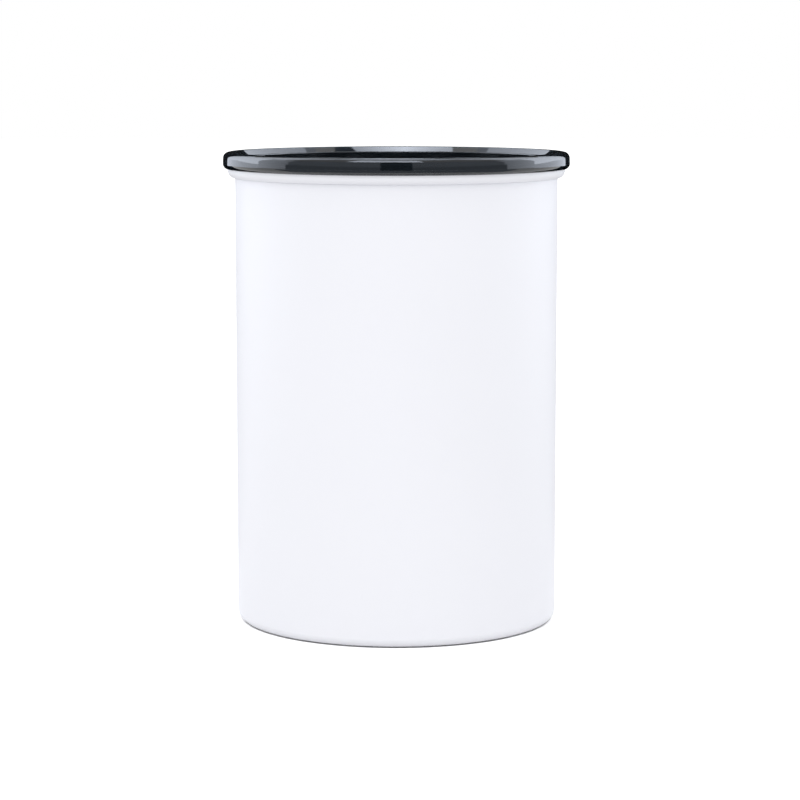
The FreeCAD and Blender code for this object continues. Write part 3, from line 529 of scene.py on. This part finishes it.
class Nodes:
    """The node tree of a finish or of the world."""

    MIX_FIRST = 6
    MIX_SECOND = 7
    MIX_RESULT = 2

    def __init__(self, tree):
        tree.nodes.clear()
        self.tree = tree

    def add(self, kind, settings=None, sockets=None):
        """Adds any node: its settings are set first, then its sockets are filled or linked."""
        node = self.tree.nodes.new(kind)
        for name, value in (settings or {}).items():
            setattr(node, name, value)
        for name, value in (sockets or {}).items():
            if isinstance(value, Wire):
                self.tree.links.new(value.socket, node.inputs[name])
            else:
                node.inputs[name].default_value = value
        return Outlets(self, node)

    def place(self):
        return self.add("ShaderNodeTexCoord")["Object"]

    def apart(self, place):
        parts = self.add("ShaderNodeSeparateXYZ", sockets={"Vector": place})
        return parts["X"], parts["Y"], parts["Z"]

    def noise(self, place, scale, detail=2.0, roughness=0.5):
        return self.add("ShaderNodeTexNoise", {"noise_dimensions": "3D"},
                        {"Vector": place, "Scale": scale, "Detail": detail, "Roughness": roughness})["Fac"]

    def blend(self, share, first, second):
        """A colour between two."""
        mix = self.add("ShaderNodeMix", {"data_type": "RGBA"},
                       {0: share, self.MIX_FIRST: first, self.MIX_SECOND: second})
        return mix[self.MIX_RESULT]

    def mottle(self, share, tint, low, high):
        """A colour between two shades of a tint."""
        return self.blend(share, shade(tint, low), shade(tint, high))

    def bump(self, height, strength, depth):
        return self.add("ShaderNodeBump", sockets={
            "Height": height, "Strength": strength, "Distance": depth})["Normal"]

    def seen(self):
        """1 for the camera and for what gloss and clear plastic show."""
        path = self.add("ShaderNodeLightPath")
        return path["Is Camera Ray"].highest(path["Is Glossy Ray"]).highest(path["Is Transmission Ray"])

    def surface(self, shader):
        self.add("ShaderNodeOutputMaterial", sockets={"Surface": shader})


def shade(tint, factor):
    """A colour made lighter or darker."""
    return (*(min(1.0, part * factor) for part in tint), 1.0)


def lit(tint, glow):
    """A colour that may be brighter than white."""
    return (*(part * glow for part in tint), 1.0)


def blank(name):
    """A new material and its empty node tree."""
    material = bpy.data.materials.new(name)
    material.use_nodes = True
    return material, Nodes(material.node_tree)


def finish(build):
    """A material whose nodes a function fills in, made once."""
    name = f"{build.__name__}_finish"
    if name in bpy.data.materials:
        return bpy.data.materials[name]
    material, nodes = blank(name)
    build(nodes, settings().finish)
    return material


def principled(nodes, sockets):
    nodes.surface(nodes.add("ShaderNodeBsdfPrincipled", sockets=sockets)["BSDF"])


def satin_paint(nodes, colours):
    """Powder coat: an even near-white with a faint orange peel."""
    place = nodes.place()
    cloud = nodes.noise(place, scale=22.0, detail=3.0)
    peel = nodes.noise(place, scale=620.0)
    grit = nodes.noise(place, scale=4200.0, detail=1.0)
    principled(nodes, {
        "Base Color": nodes.mottle(cloud, colours.paint, 0.992, 1.008),
        "Roughness": 0.50 + 0.10 * peel,
        "IOR": 1.4,
        "Normal": nodes.bump(peel + 0.25 * grit, strength=0.10, depth=0.12 * MM),
    })


def spun_steel(nodes, colours):
    """Bare steel with fine rings from spinning."""
    across, depth, height = nodes.apart(nodes.place())
    radius = (across * across + depth * depth) ** 0.5
    rings = nodes.add("ShaderNodeCombineXYZ", sockets={
        "X": 1.6 * depth.angle_to(across), "Y": 900.0 * radius, "Z": 900.0 * height})["Vector"]
    lines = nodes.noise(rings, scale=1.0, detail=3.0, roughness=0.65)
    cloud = nodes.noise(nodes.place(), scale=35.0, detail=3.0)
    principled(nodes, {
        "Base Color": nodes.mottle(lines, colours.bare_steel, 0.90, 1.08),
        "Metallic": 1.0,
        "Roughness": 0.24 + 0.10 * lines + 0.10 * cloud,
        "Normal": nodes.bump(lines, strength=0.12, depth=0.05 * MM),
    })


def base_shadow_coat(nodes, colours):
    """Dull dark coat under the base's rounded edge: painted shadow, standing in for the contact shadow where
    the base meets the floor.
    """
    grain = nodes.noise(nodes.place(), scale=1800.0, detail=3.0, roughness=0.6)
    principled(nodes, {
        "Base Color": nodes.mottle(grain, colours.black, 0.5, 0.9),
        "Roughness": 0.80 + 0.15 * grain,
        "Specular IOR Level": 0.05,
        "Normal": nodes.bump(grain, strength=0.2, depth=0.05 * MM),
    })


def smoke_plastic(nodes, colours):
    """Clear moulded plastic with a dark smoke tint, polished, with the faintest rub marks."""
    rub = nodes.noise(nodes.place(), scale=140.0, detail=4.0, roughness=0.7)
    principled(nodes, {
        "Base Color": nodes.mottle(rub, colours.smoke, 0.97, 1.03),
        "Roughness": 0.02 + 0.05 * rub * rub,
        "IOR": 1.49,
        "Transmission Weight": 0.7,
    })


def moulded(nodes, tint, roughness):
    """Moulded plastic with a fine spark-eroded texture."""
    place = nodes.place()
    grain = nodes.noise(place, scale=2600.0, roughness=0.6)
    cloud = nodes.noise(place, scale=60.0, detail=3.0)
    principled(nodes, {
        "Base Color": nodes.mottle(cloud, tint, 0.86, 1.14),
        "Roughness": roughness + 0.14 * grain,
        "IOR": 1.5,
        "Normal": nodes.bump(grain, strength=0.22, depth=0.06 * MM),
    })


def black_plastic(nodes, colours):
    moulded(nodes, colours.black, roughness=0.36)


def grey_plastic(nodes, colours):
    moulded(nodes, colours.grey, roughness=0.34)


def silicone(nodes, colours):
    """Soft silicone: matt, with a little dust in its grain."""
    place = nodes.place()
    grain = nodes.noise(place, scale=1500.0)
    cloud = nodes.noise(place, scale=45.0, detail=3.0)
    principled(nodes, {
        "Base Color": nodes.mottle(cloud, colours.silicone, 0.93, 1.05),
        "Roughness": 0.48 + 0.16 * grain,
        "IOR": 1.42,
        "Subsurface Weight": 0.12,
        "Subsurface Scale": 1 * MM,
        "Normal": nodes.bump(grain, strength=0.15, depth=0.05 * MM),
    })


def bright_steel(nodes, colours):
    """Drawn steel: bright, with fine drawing marks."""
    marks = nodes.noise(nodes.place(), scale=1900.0, detail=3.0, roughness=0.6)
    principled(nodes, {
        "Base Color": nodes.mottle(marks, colours.bright_steel, 0.88, 1.06),
        "Metallic": 1.0,
        "Roughness": 0.17 + 0.16 * marks,
        "Normal": nodes.bump(marks, strength=0.06, depth=0.03 * MM),
    })


# Pieces

class CANISTER_OT_shell(Operator):
    """Steel shell: raised base, straight painted wall and a rim rolled outwards"""

    bl_idname = "canister.shell"
    bl_label = "Painted shell"

    facing_down = -0.01

    def execute(self, context):
        size = settings().shell
        wall_in = size.wall_radius - size.sheet
        inner_corner = size.base_corner - size.sheet
        step = size.wall_radius - size.base_corner - size.foot_width
        raised = step - size.base_slope
        press_round = size.base_rise / 2
        bend = (size.roll_radius - wall_in) / 2
        bend_in = bend - size.sheet
        roll_in = size.roll_radius - size.sheet
        roll_low = size.rim_height - size.roll_height
        tuck = size.wall_radius + size.roll_gap
        corners = [
            (0, size.base_rise),
            (raised, size.base_rise, press_round),
            (step, 0, press_round),
            (size.wall_radius, 0, size.base_corner),
            (size.wall_radius, size.rim_height - size.sheet, bend_in),
            (roll_in, size.rim_height - size.sheet, bend_in),
            (roll_in, roll_low + size.sheet, roll_in - tuck),
            (tuck, roll_low + size.sheet),
            (tuck, roll_low),
            (size.roll_radius, roll_low, size.roll_radius - tuck),
            (size.roll_radius, size.rim_height, bend),
            (wall_in, size.rim_height, bend),
            (wall_in, size.sheet, inner_corner),
            (step, size.sheet, press_round),
            (raised, size.base_rise + size.sheet, press_round),
            (0, size.base_rise + size.sheet),
        ]
        bm = turned(corners)
        for face in bm.faces:
            middle = face.calc_center_median()
            radius = math.hypot(middle.x, middle.y)
            down = face.normal.z < self.facing_down
            inside = radius < wall_in + size.sheet / 4 and middle.z > size.sheet / 2 and not down
            # Downward faces near the floor and under the raised middle get the dark coat, a painted shadow
            # under the base.
            under = down and (middle.z < size.shadow_coat_edge or radius < step)
            face.material_index = 2 if under else int(inside)
        piece(bm, "painted_shell", "canister", "canister_body", "white_paint",
              finish(satin_paint), finish(spun_steel), finish(base_shadow_coat))
        return {"FINISHED"}


class CANISTER_OT_lid(Operator):
    """Smoke lid: skirt outside the rim, and inside it a plug whose floor is the sunken panel"""

    bl_idname = "canister.lid"
    bl_label = "Smoke lid"

    def execute(self, context):
        shell, size = settings().shell, settings().lid
        skirt_in = shell.roll_radius + size.clearance
        skirt_out = skirt_in + size.wall
        plug_out = shell.wall_radius - shell.sheet - size.clearance
        plug_in = plug_out - size.wall
        ceiling = size.crest_height - size.crest
        panel = size.underside + size.panel
        lip_width = size.lip_round - size.wall
        lip_drop = math.sqrt(size.lip_round ** 2 - lip_width ** 2)
        lip_end = ceiling - size.skirt - lip_drop
        corners = [
            (0, size.underside),
            (plug_out, size.underside, size.plug_round),
            (plug_out, ceiling, size.ceiling_round),
            (skirt_in, ceiling, size.ceiling_round),
            (skirt_in, lip_end),
            (skirt_out, lip_end + size.wall * lip_width / lip_drop, size.lip_round),
            (skirt_out, ceiling - size.skirt),
            (skirt_out - size.draft, size.crest_height, size.crest_round),
            (plug_in + size.slope, size.crest_height, size.crest_inner_round),
            (plug_in, size.crest_height - size.slope_drop, size.slope_round),
            (plug_in, panel, size.panel_round),
            (0, panel),
        ]
        piece(turned(corners), "smoke_lid", "lid", "outer_lid", "smoke_plastic", finish(smoke_plastic))
        return {"FINISHED"}


class CANISTER_OT_dish(Operator):
    """Dish of the inner lid with its valve seat, vents, ears, screw posts and handle rests"""

    bl_idname = "canister.dish"
    bl_label = "Inner lid dish"

    vent_count = 6
    edge = 0.35 * MM
    post_hole_depth = 4.7 * MM

    def ear(self, size, pivot, start):
        """Upright plate with a round top and a spread foot."""
        floor = size.underside + size.floor
        top = pivot + size.ear_radius
        foot = size.ear_radius + size.ear_spread
        outline = [
            (0, -foot, size.underside + size.floor / 2, 0),
            (0, foot, size.underside + size.floor / 2, 0),
            (0, foot, floor, 0),
            (0, size.ear_radius, floor, size.ear_spread),
            (0, size.ear_radius, top, size.ear_radius),
            (0, -size.ear_radius, top, size.ear_radius),
            (0, -size.ear_radius, floor, size.ear_spread),
            (0, -foot, floor, 0),
        ]
        bm = slab([(Vector(corner[:3]), corner[3]) for corner in outline], Vector((size.ear_thickness, 0, 0)))
        return moved(soften(bm, self.edge), Vector((start, 0, 0)))

    def execute(self, context):
        size, valve, handle = settings().inner, settings().valve, settings().handle
        low, floor = size.underside, size.underside + size.floor
        groove_floor = size.flange - size.groove_depth
        dish_in = groove_floor - size.groove_wall
        groove_low = low + size.groove_shelf
        groove_top = groove_low + size.groove_width
        seat_top = floor + size.seat_height
        dish = turned([
            (0, low),
            (size.flange, low, size.rim_round),
            (size.flange, groove_low, self.edge),
            (groove_floor, groove_low),
            (groove_floor, groove_top),
            (size.flange, groove_top, self.edge),
            (size.flange, size.rim_top, size.rim_round),
            (dish_in, size.rim_top, size.rim_round),
            (dish_in, floor, size.dish_round),
            (size.seat_out, floor),
            (size.seat_out, seat_top),
            (size.seat_in, seat_top),
            (size.seat_in, floor),
            (0, floor),
        ])
        root = low + size.floor / 2
        post_top = low + valve.lobe_seat
        rest_top = handle.pivot_height - handle.thickness / 2 - size.rest_gap
        half_rest = size.rest_width / 2
        stands = [self.ear(size, handle.pivot_height, size.ear_start),
                  self.ear(size, handle.pivot_height, -size.ear_start - size.ear_thickness)]
        bore_end = 2 * size.ear_start
        holes = [along_x(rod(handle.pivot_radius, -bore_end, bore_end), UP * handle.pivot_height)]
        for side in (-1, 1):
            place = Vector((0, side * valve.screw_place, 0))
            stands.append(moved(rod(valve.post_radius, root, post_top, high_round=self.edge), place))
            hole = rod(valve.screw_radius, post_top - self.post_hole_depth, post_top + CUT_PAST)
            holes.append(moved(hole, place))
            middle = Vector((side * size.rest_spread, handle.reach, 0))
            stands.append(soften(block(middle + Vector((-half_rest, -half_rest, root)),
                                       middle + Vector((half_rest, half_rest, rest_top))), 2 * self.edge))
        for index in range(self.vent_count):
            vent = rod(size.vent_radius, low - CUT_PAST, floor + CUT_PAST)
            holes.append(spun(moved(vent, Vector((size.vent_circle, 0, 0))), index * 360 / self.vent_count))
        piece(cut(united(dish, *stands), *holes), "inner_lid_dish", "inner_lid", "plunger_disc",
              "black_plastic", finish(black_plastic))
        return {"FINISHED"}


class CANISTER_OT_wiper(Operator):
    """Silicone wiper ring with two lips in the dish's groove"""

    bl_idname = "canister.wiper"
    bl_label = "Wiper ring"

    edge = 0.25 * MM

    def execute(self, context):
        size = settings().inner
        inside = size.flange - size.groove_depth + size.wiper_fit
        band = inside + size.wiper_band
        taper = (size.lip_root - size.lip_tip) / 2
        corners = [(inside, size.wiper_low), (band, size.wiper_low, self.edge)]
        for root in (size.wiper_low + size.lip_inset, size.wiper_high - size.lip_inset - size.lip_root):
            corners += [
                (band, root, self.edge),
                (size.wiper, root + taper, self.edge),
                (size.wiper, root + taper + size.lip_tip, self.edge),
                (band, root + size.lip_root, self.edge),
            ]
        corners += [(band, size.wiper_high, self.edge), (inside, size.wiper_high)]
        piece(turned(corners, closed=True), "wiper_ring", "inner_lid", "plunger_seal", "silicone",
              finish(silicone))
        return {"FINISHED"}


class CANISTER_OT_housing(Operator):
    """Valve housing with its stem guide, air slots and fixing lobes"""

    bl_idname = "canister.housing"
    bl_label = "Valve housing"

    slot_cuts = 3
    edge = 0.3 * MM

    def execute(self, context):
        size, inner = settings().valve, settings().inner
        floor = inner.underside + inner.floor
        outside = size.housing_in + size.housing_wall
        roof = size.housing_top - size.housing_roof
        guide_out = size.guide_in + size.guide_wall
        guide_low = roof - size.guide_drop
        cup = turned([
            (size.housing_in, floor),
            (outside, floor),
            (outside, size.housing_top, size.housing_round),
            (size.guide_in, size.housing_top, self.edge),
            (size.guide_in, guide_low),
            (guide_out, guide_low, self.edge),
            (guide_out, roof),
            (size.housing_in, roof, size.housing_round / 2),
        ], closed=True)
        lobes, holes = [], []
        lobe_low = inner.underside + size.lobe_seat
        reach = size.screw_place + size.post_radius
        in_wall = size.housing_in + size.housing_wall / 4
        for degrees in (0, 180):
            outline = [
                (size.post_radius, in_wall, 0),
                (size.post_radius, reach, size.post_radius),
                (-size.post_radius, reach, size.post_radius),
                (-size.post_radius, in_wall, 0),
            ]
            path = [(Vector((x, y, lobe_low)), radius) for x, y, radius in outline]
            lobes.append(spun(soften(slab(path, UP * size.lobe_thickness), self.edge), degrees))
            top = lobe_low + size.lobe_thickness
            hole = rod(size.screw_radius, lobe_low - CUT_PAST, top + CUT_PAST)
            holes.append(moved(hole, Vector((0, size.screw_place * math.cos(math.radians(degrees)), 0))))
        slot_low = floor + size.slot_rise
        for index in range(self.slot_cuts):
            slot = block(Vector((-2 * outside, -size.slot_width / 2, slot_low)),
                         Vector((2 * outside, size.slot_width / 2, slot_low + size.slot_height)))
            holes.append(spun(slot, index * 180 / self.slot_cuts))
        piece(cut(united(cup, *lobes), *holes), "valve_housing", "inner_lid", "valve_cap", "grey_plastic",
              finish(grey_plastic))
        return {"FINISHED"}


class CANISTER_OT_screws(Operator):
    """The two cross-headed screws that hold the valve housing"""

    bl_idname = "canister.screws"
    bl_label = "Housing screws"

    # which side of the valve a screw is on, and how far its cross is turned
    turns = ((-1, 20), (1, 65))
    tip_share = 0.2
    head_round = 0.75

    def execute(self, context):
        size, inner = settings().valve, settings().inner
        seat = inner.underside + size.lobe_seat + size.lobe_thickness
        tip = size.screw_radius * self.tip_share
        screws = []
        for side, degrees in self.turns:
            screw = turned([
                (0, -size.screw_length),
                (size.screw_radius - tip, -size.screw_length),
                (size.screw_radius, tip - size.screw_length),
                (size.screw_radius, 0),
                (size.screw_head, 0),
                (size.screw_head, size.screw_head_height, size.screw_head_height * self.head_round),
                (0, size.screw_head_height),
            ])
            half = Vector((size.cross_length, size.cross_width, size.cross_depth)) / 2
            middle = UP * size.screw_head_height
            bars = [spun(block(middle - half, middle + half + UP * size.cross_depth), turn)
                    for turn in (degrees, degrees + 90)]
            screws.append(moved(cut(screw, *bars), Vector((0, side * size.screw_place, seat))))
        piece(gathered(*screws), "housing_screws", "inner_lid", "cap_screws", "steel",
              finish(bright_steel))
        return {"FINISHED"}


class CANISTER_OT_valve(Operator):
    """Poppet, its silicone washer and the spring that presses it shut"""

    bl_idname = "canister.valve"
    bl_label = "Poppet, washer and spring"

    edge = 0.25 * MM
    spring_steps_per_turn = 40
    wire_sides = 14

    def spring(self, size):
        """A round wire wound up the stem guide."""
        bm = bmesh.new()
        half = size.spring_wire / 2
        bmesh.ops.create_circle(bm, cap_ends=False, radius=half, segments=self.wire_sides)
        spun(bm, 90, "X")
        moved(bm, Vector((size.spring_radius - half, 0, size.spring_low + half)))
        steps = round(size.spring_turns * self.spring_steps_per_turn)
        rise = (size.spring_top - size.spring_low - size.spring_wire) / steps
        bmesh.ops.spin(bm, geom=bm.verts[:] + bm.edges[:], cent=(0, 0, 0), axis=UP, dvec=(0, 0, rise),
                       angle=2 * math.pi * size.spring_turns, steps=steps)
        return capped(bm)

    def execute(self, context):
        size, handle = settings().valve, settings().handle
        recess_in = size.poppet_radius - size.poppet_rim
        poppet_top = size.washer_top + size.poppet_web
        poppet = turned([
            (0, size.washer_top),
            (recess_in, size.washer_top),
            (recess_in, size.poppet_low),
            (size.poppet_radius, size.poppet_low, self.edge),
            (size.poppet_radius, poppet_top, self.edge),
            (size.stem_radius, poppet_top, self.edge),
            (size.stem_radius, size.stem_top, 2 * self.edge),
            (0, size.stem_top),
        ])
        reach = 2 * size.stem_radius
        cross_hole = along_x(rod(handle.lift_pin_radius, -reach, reach), UP * handle.lift_height)
        piece(cut(poppet, cross_hole), "poppet", "valve", "valve_poppet", "grey_plastic",
              finish(grey_plastic))
        washer = rod(size.washer_radius, size.washer_low, size.washer_top, self.edge, self.edge)
        piece(washer, "poppet_washer", "valve", "valve_washer", "silicone", finish(silicone))
        spring = piece(self.spring(size), "poppet_spring", "inner_lid", "valve_spring", "steel",
                       finish(bright_steel))
        opening = next(joint for joint in frame["joints"] if joint["name"] == "valve_lift")["range_m"][1]
        roof = size.housing_top - size.housing_roof
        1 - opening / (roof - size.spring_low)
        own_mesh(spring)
        return {"FINISHED"}


class CANISTER_OT_handle(Operator):
    """Folding loop handle with a round hub and a cam on each leg"""

    bl_idname = "canister.handle"
    bl_label = "Loop handle"

    edge = 0.4 * MM

    def disc(self, radius, start, width, place):
        """A short cylinder on the X axis with softened edges."""
        return along_x(rod(radius, start, start + width, self.edge, self.edge), place)

    def execute(self, context):
        size = settings().handle
        axis = UP * size.pivot_height
        hub_start = size.cam_start + size.cam_width
        leg = hub_start + size.leg_width / 2
        half_wide, half_high = size.leg_width / 2, size.thickness / 2
        section = [
            (Vector((leg, 0, -half_high)), 0),
            (Vector((leg + half_wide, 0, -half_high)), size.grip_round),
            (Vector((leg + half_wide, 0, half_high)), size.grip_round),
            (Vector((leg - half_wide, 0, half_high)), size.grip_round),
            (Vector((leg - half_wide, 0, -half_high)), size.grip_round),
            (Vector((leg, 0, -half_high)), 0),
        ]
        flare_end = size.reach - size.loop_corner - size.side_straight
        run_half = (flare_end - size.leg_straight) / 2
        step_half = (size.loop_half_width - leg) / 2
        flare = (run_half ** 2 + step_half ** 2) / (2 * step_half)
        trim = flare * math.tan(math.asin(run_half / flare) / 2)
        right = [
            (leg, 0, 0),
            (leg, size.leg_straight + trim, flare),
            (size.loop_half_width, flare_end - trim, flare),
            (size.loop_half_width, size.reach, size.loop_corner),
        ]
        left = [(-x, y, radius) for x, y, radius in reversed(right)]
        loop = draw(section)
        path = [(Vector((x, y, 0)), radius) for x, y, radius in right + left]
        sweep(loop, loop.verts[:] + loop.edges[:], path)
        moved(capped(loop), axis)
        off = axis + Vector((0, size.cam_offset, -size.cam_offset))
        cam_depth = size.cam_width + size.leg_width / 2
        ends = [
            self.disc(size.hub_radius, hub_start, size.leg_width, axis),
            self.disc(size.hub_radius, -hub_start - size.leg_width, size.leg_width, axis),
            self.disc(size.cam_radius, size.cam_start, cam_depth, off),
            self.disc(size.cam_radius, -hub_start - size.leg_width / 2, cam_depth, off),
        ]
        reach = 2 * hub_start
        bore = along_x(rod(size.pivot_radius, -reach, reach), axis)
        piece(cut(united(loop, *ends), bore), "loop_handle", "folding_handle", "handle", "black_plastic",
              finish(black_plastic))
        return {"FINISHED"}


class CANISTER_OT_pins(Operator):
    """Lift pin through the valve's stem and the two headed pivot pins"""

    bl_idname = "canister.pins"
    bl_label = "Pins"

    head_round = 0.6

    def execute(self, context):
        size = settings().handle
        chamfer = size.pin_chamfer
        end, radius = size.lift_pin_end, size.lift_pin_radius
        lift = turned([(0, -end), (radius - chamfer, -end), (radius, chamfer - end),
                       (radius, end - chamfer), (radius - chamfer, end), (0, end)])
        steel = finish(bright_steel)
        piece(along_x(lift, UP * size.lift_height), "lift_cross_pin", "valve", "lift_pin", "steel", steel)
        for side, degrees in (("right", 0), ("left", 180)):
            head = size.pivot_end - size.pivot_head_height
            pin = turned([
                (0, size.pivot_tip),
                (size.pivot_radius - chamfer, size.pivot_tip),
                (size.pivot_radius, size.pivot_tip + chamfer),
                (size.pivot_radius, head),
                (size.pivot_head, head),
                (size.pivot_head, size.pivot_end, size.pivot_head_height * self.head_round),
                (0, size.pivot_end),
            ])
            along_x(pin, UP * size.pivot_height)
            piece(spun(pin, degrees), f"pivot_{side}", "inner_lid", f"pivot_pin_{side}", "steel", steel)
        return {"FINISHED"}


# Stage

def both_sides(name, around, up, wide, high, first, last):
    """A card on the right and its mirror image on the left."""
    return {f"left_{name}": (-around, up, wide, high, last, first),
            f"right_{name}": (around, up, wide, high, first, last)}


class CANISTER_OT_stage(Operator):
    """Pale floor, soft studio light and the camera"""

    bl_idname = "canister.stage"
    bl_label = "Stage"

    floor_radius = 6.0
    floor_sides = 96
    sensor_mm = 36.0
    white = (1, 1, 1)
    lamp_size = 1.6
    lamp_place = Vector((-0.18, -1.3, 1.7))
    # what only shiny surfaces see, each nearer than the one before it: azimuth from straight back,
    # elevation and both widths in degrees, glow at the lower azimuth and at the higher one
    far_cards = {
        "front_haze": (180, 16, 150, 34, 0.77, 0.77),
        "back_dark": (0, 21, 66, 58, 0.015, 0.015),
        "back_dark_top": (0, 53, 32, 8, 0.1, 0.1),
        **both_sides("back_fill", 21, 47.9, 9, 5.8, 0.85, 0.85),
        "roof_gap": (18.4, 59.2, 7, 6.6, 0.1, 0.1),
        "roof_cap": (0, 79, 360, 22, 3.4, 3.4),
        "roof_box_left": (-11.35, 62.5, 16.7, 11, 3.6, 8.4),
        "roof_box_right": (5.85, 62.5, 17.8, 11, 8.4, 3.6),
        **both_sides("top_box", 70, 51, 44, 34, 3.5, 5.0),
        **both_sides("high_box", 56.5, 17, 47, 34.6, 1.7, 6.8),
        **both_sides("low_box", 56.5, -2.9, 47, 5.2, 2.0, 3.4),
        **both_sides("front_box", 93.5, 16, 27, 36, 3.2, 2.0),
        "front_dark": (180, -3.9, 150, 9, 0.5, 0.5),
        "front_top_box": (188, 46, 54, 28, 7.0, 7.0),
        "lens_dark": (180, 12, 20, 40, 0.05, 0.05),
    }
    middle_cards = both_sides("back_panel", 7.65, 31.4, 13.3, 28.2, 1.3, 2.2)
    near_cards = {
        "low_front": (180, -24, 150, 32, 0.6, 0.6),
        "low_back_dark": (0, -35.5, 119, 61, 0.0, 0.0),
    }
    flags = {"crest_flag": (180, 4.25, 110, 3.1, 0.0, 0.0)}
    far_distance = 1.4
    middle_distance = 0.45
    near_distance = 0.21
    flag_distance = 0.0586
    card_step = 0.02
    card_tint = (0.915, 0.98, 1.105)
    card_bend = math.radians(6)

    def glow(self, name, around, wide, first, last):
        """A glow that grades evenly across a card."""
        material, nodes = blank(name)
        tint = lit(self.card_tint, first)
        if first != last:
            across, depth, _ = nodes.apart(nodes.place())
            share = (across.angle_to(depth) - (around - wide / 2)) * (1 / wide)
            tint = nodes.blend(share, tint, lit(self.card_tint, last))
        nodes.surface(nodes.add("ShaderNodeEmission", sockets={"Color": tint})["Emission"])
        return material

    def card(self, name, distance, around, up, wide, high, first, last):
        """A domed panel round the lid that shows only in glossy reflections."""
        around, up, wide, high = (math.radians(angle) for angle in (around, up, wide, high))
        level = Vector((math.sin(around - wide / 2), math.cos(around - wide / 2), 0))
        low = level * math.cos(up - high / 2) + UP * math.sin(up - high / 2)
        bm = bmesh.new()
        bmesh.ops.spin(bm, geom=[bm.verts.new(low * distance)], cent=(0, 0, 0), axis=level.cross(UP),
                       dvec=(0, 0, 0), angle=high, steps=math.ceil(high / self.card_bend))
        bmesh.ops.spin(bm, geom=bm.verts[:] + bm.edges[:], cent=(0, 0, 0), axis=-UP,
                       dvec=(0, 0, 0), angle=wide, steps=math.ceil(wide / self.card_bend))
        moved(bm, UP * settings().shell.rim_height)
        panel = self.add(bm, name, self.glow(name, around, wide, first, last))
        panel.visible_camera = False
        panel.visible_diffuse = False
        panel.visible_transmission = False
        panel.visible_shadow = False

    def add(self, bm, name, material):
        made = placed(bm, name)
        made.data.materials.append(material)
        return made

    def floor(self, size):
        material, nodes = blank("floor")
        tint = size.floor_colour
        nodes.surface(nodes.add("ShaderNodeBsdfDiffuse", sockets={
            "Color": nodes.blend(nodes.seen(), lit(tint, 1), lit(tint, size.floor_lift))})["BSDF"])
        bm = bmesh.new()
        bmesh.ops.create_circle(bm, cap_ends=True, radius=self.floor_radius, segments=self.floor_sides)
        self.add(bm, "floor", material)

    def sky(self, size):
        """Even light all round, which the camera, gloss and clear plastic see as white."""
        world = bpy.data.worlds.new("studio")
        bpy.context.scene.world = world
        world.use_nodes = True
        nodes = Nodes(world.node_tree)
        light = nodes.add("ShaderNodeBackground", sockets={
            "Color": nodes.blend(nodes.seen(), lit(self.white, size.fill), lit(self.white, 1))})
        nodes.add("ShaderNodeOutputWorld", sockets={"Surface": light["Background"]})

    def lamp(self, size):
        data = bpy.data.lights.new("key", "AREA")
        data.energy = size.key_power
        data.size = self.lamp_size
        lamp = bpy.data.objects.new("key", data)
        lamp.location = self.lamp_place
        lamp.rotation_euler = (-self.lamp_place).to_track_quat("-Z", "Y").to_euler()
        lamp.visible_camera = False
        lamp.visible_glossy = False
        bpy.context.scene.collection.objects.link(lamp)

    def camera(self, size):
        data = bpy.data.cameras.new("camera")
        data.lens = size.lens_mm
        data.sensor_width = self.sensor_mm
        camera = bpy.data.objects.new("camera", data)
        camera.location = (0, -size.camera_distance, size.camera_height)
        aim = Vector((size.aim_side, 0, size.aim_height))
        camera.rotation_euler = (aim - camera.location).to_track_quat("-Z", "Y").to_euler()
        bpy.context.scene.collection.objects.link(camera)
        bpy.context.scene.camera = camera

    def execute(self, context):
        size = settings().stage
        self.floor(size)
        self.sky(size)
        self.lamp(size)
        self.camera(size)
        for cards, distance in (
                (self.far_cards, self.far_distance), (self.middle_cards, self.middle_distance),
                (self.near_cards, self.near_distance), (self.flags, self.flag_distance)):
            for index, (name, facts) in enumerate(cards.items()):
                self.card(name, distance - index * self.card_step, *facts)
        context.scene.view_settings.view_transform = "Standard"
        return {"FINISHED"}


class CANISTER_PT_panel(Panel):
    """Lists the canister's pieces and stage"""

    bl_idname = "CANISTER_PT_panel"
    bl_label = "Coffee canister"
    bl_space_type = "VIEW_3D"
    bl_region_type = "UI"
    bl_category = "Canister"

    def draw(self, context):
        for operator in PIECES:
            self.layout.operator(operator.bl_idname)
        chosen = settings()
        for name in ("shell", "lid", "inner", "valve", "handle", "finish", "stage"):
            group = getattr(chosen, name)
            box = self.layout.box()
            box.label(text=group.__doc__)
            for item in group.bl_rna.properties:
                if not item.is_readonly and item.identifier != "name":
                    box.prop(group, item.identifier)


GROUPS = (ShellSizes, LidSizes, InnerLidSizes, ValveSizes, HandleSizes, Finishes, StageSettings,
          CanisterSettings)
PIECES = (CANISTER_OT_shell, CANISTER_OT_lid, CANISTER_OT_dish, CANISTER_OT_wiper, CANISTER_OT_housing,
          CANISTER_OT_screws, CANISTER_OT_valve, CANISTER_OT_handle, CANISTER_OT_pins, CANISTER_OT_stage)


def register():
    for item in (*GROUPS, *PIECES, CANISTER_PT_panel):
        bpy.utils.register_class(item)
    bpy.types.Scene.canister_settings = PointerProperty(type=CanisterSettings)


def unregister():
    del bpy.types.Scene.canister_settings
    for item in reversed((*GROUPS, *PIECES, CANISTER_PT_panel)):
        bpy.utils.unregister_class(item)


def main():
    register()
    for operator in PIECES:
        group, name = operator.bl_idname.split(".")
        getattr(getattr(bpy.ops, group), name)()


if __name__ == "__main__":
    main()
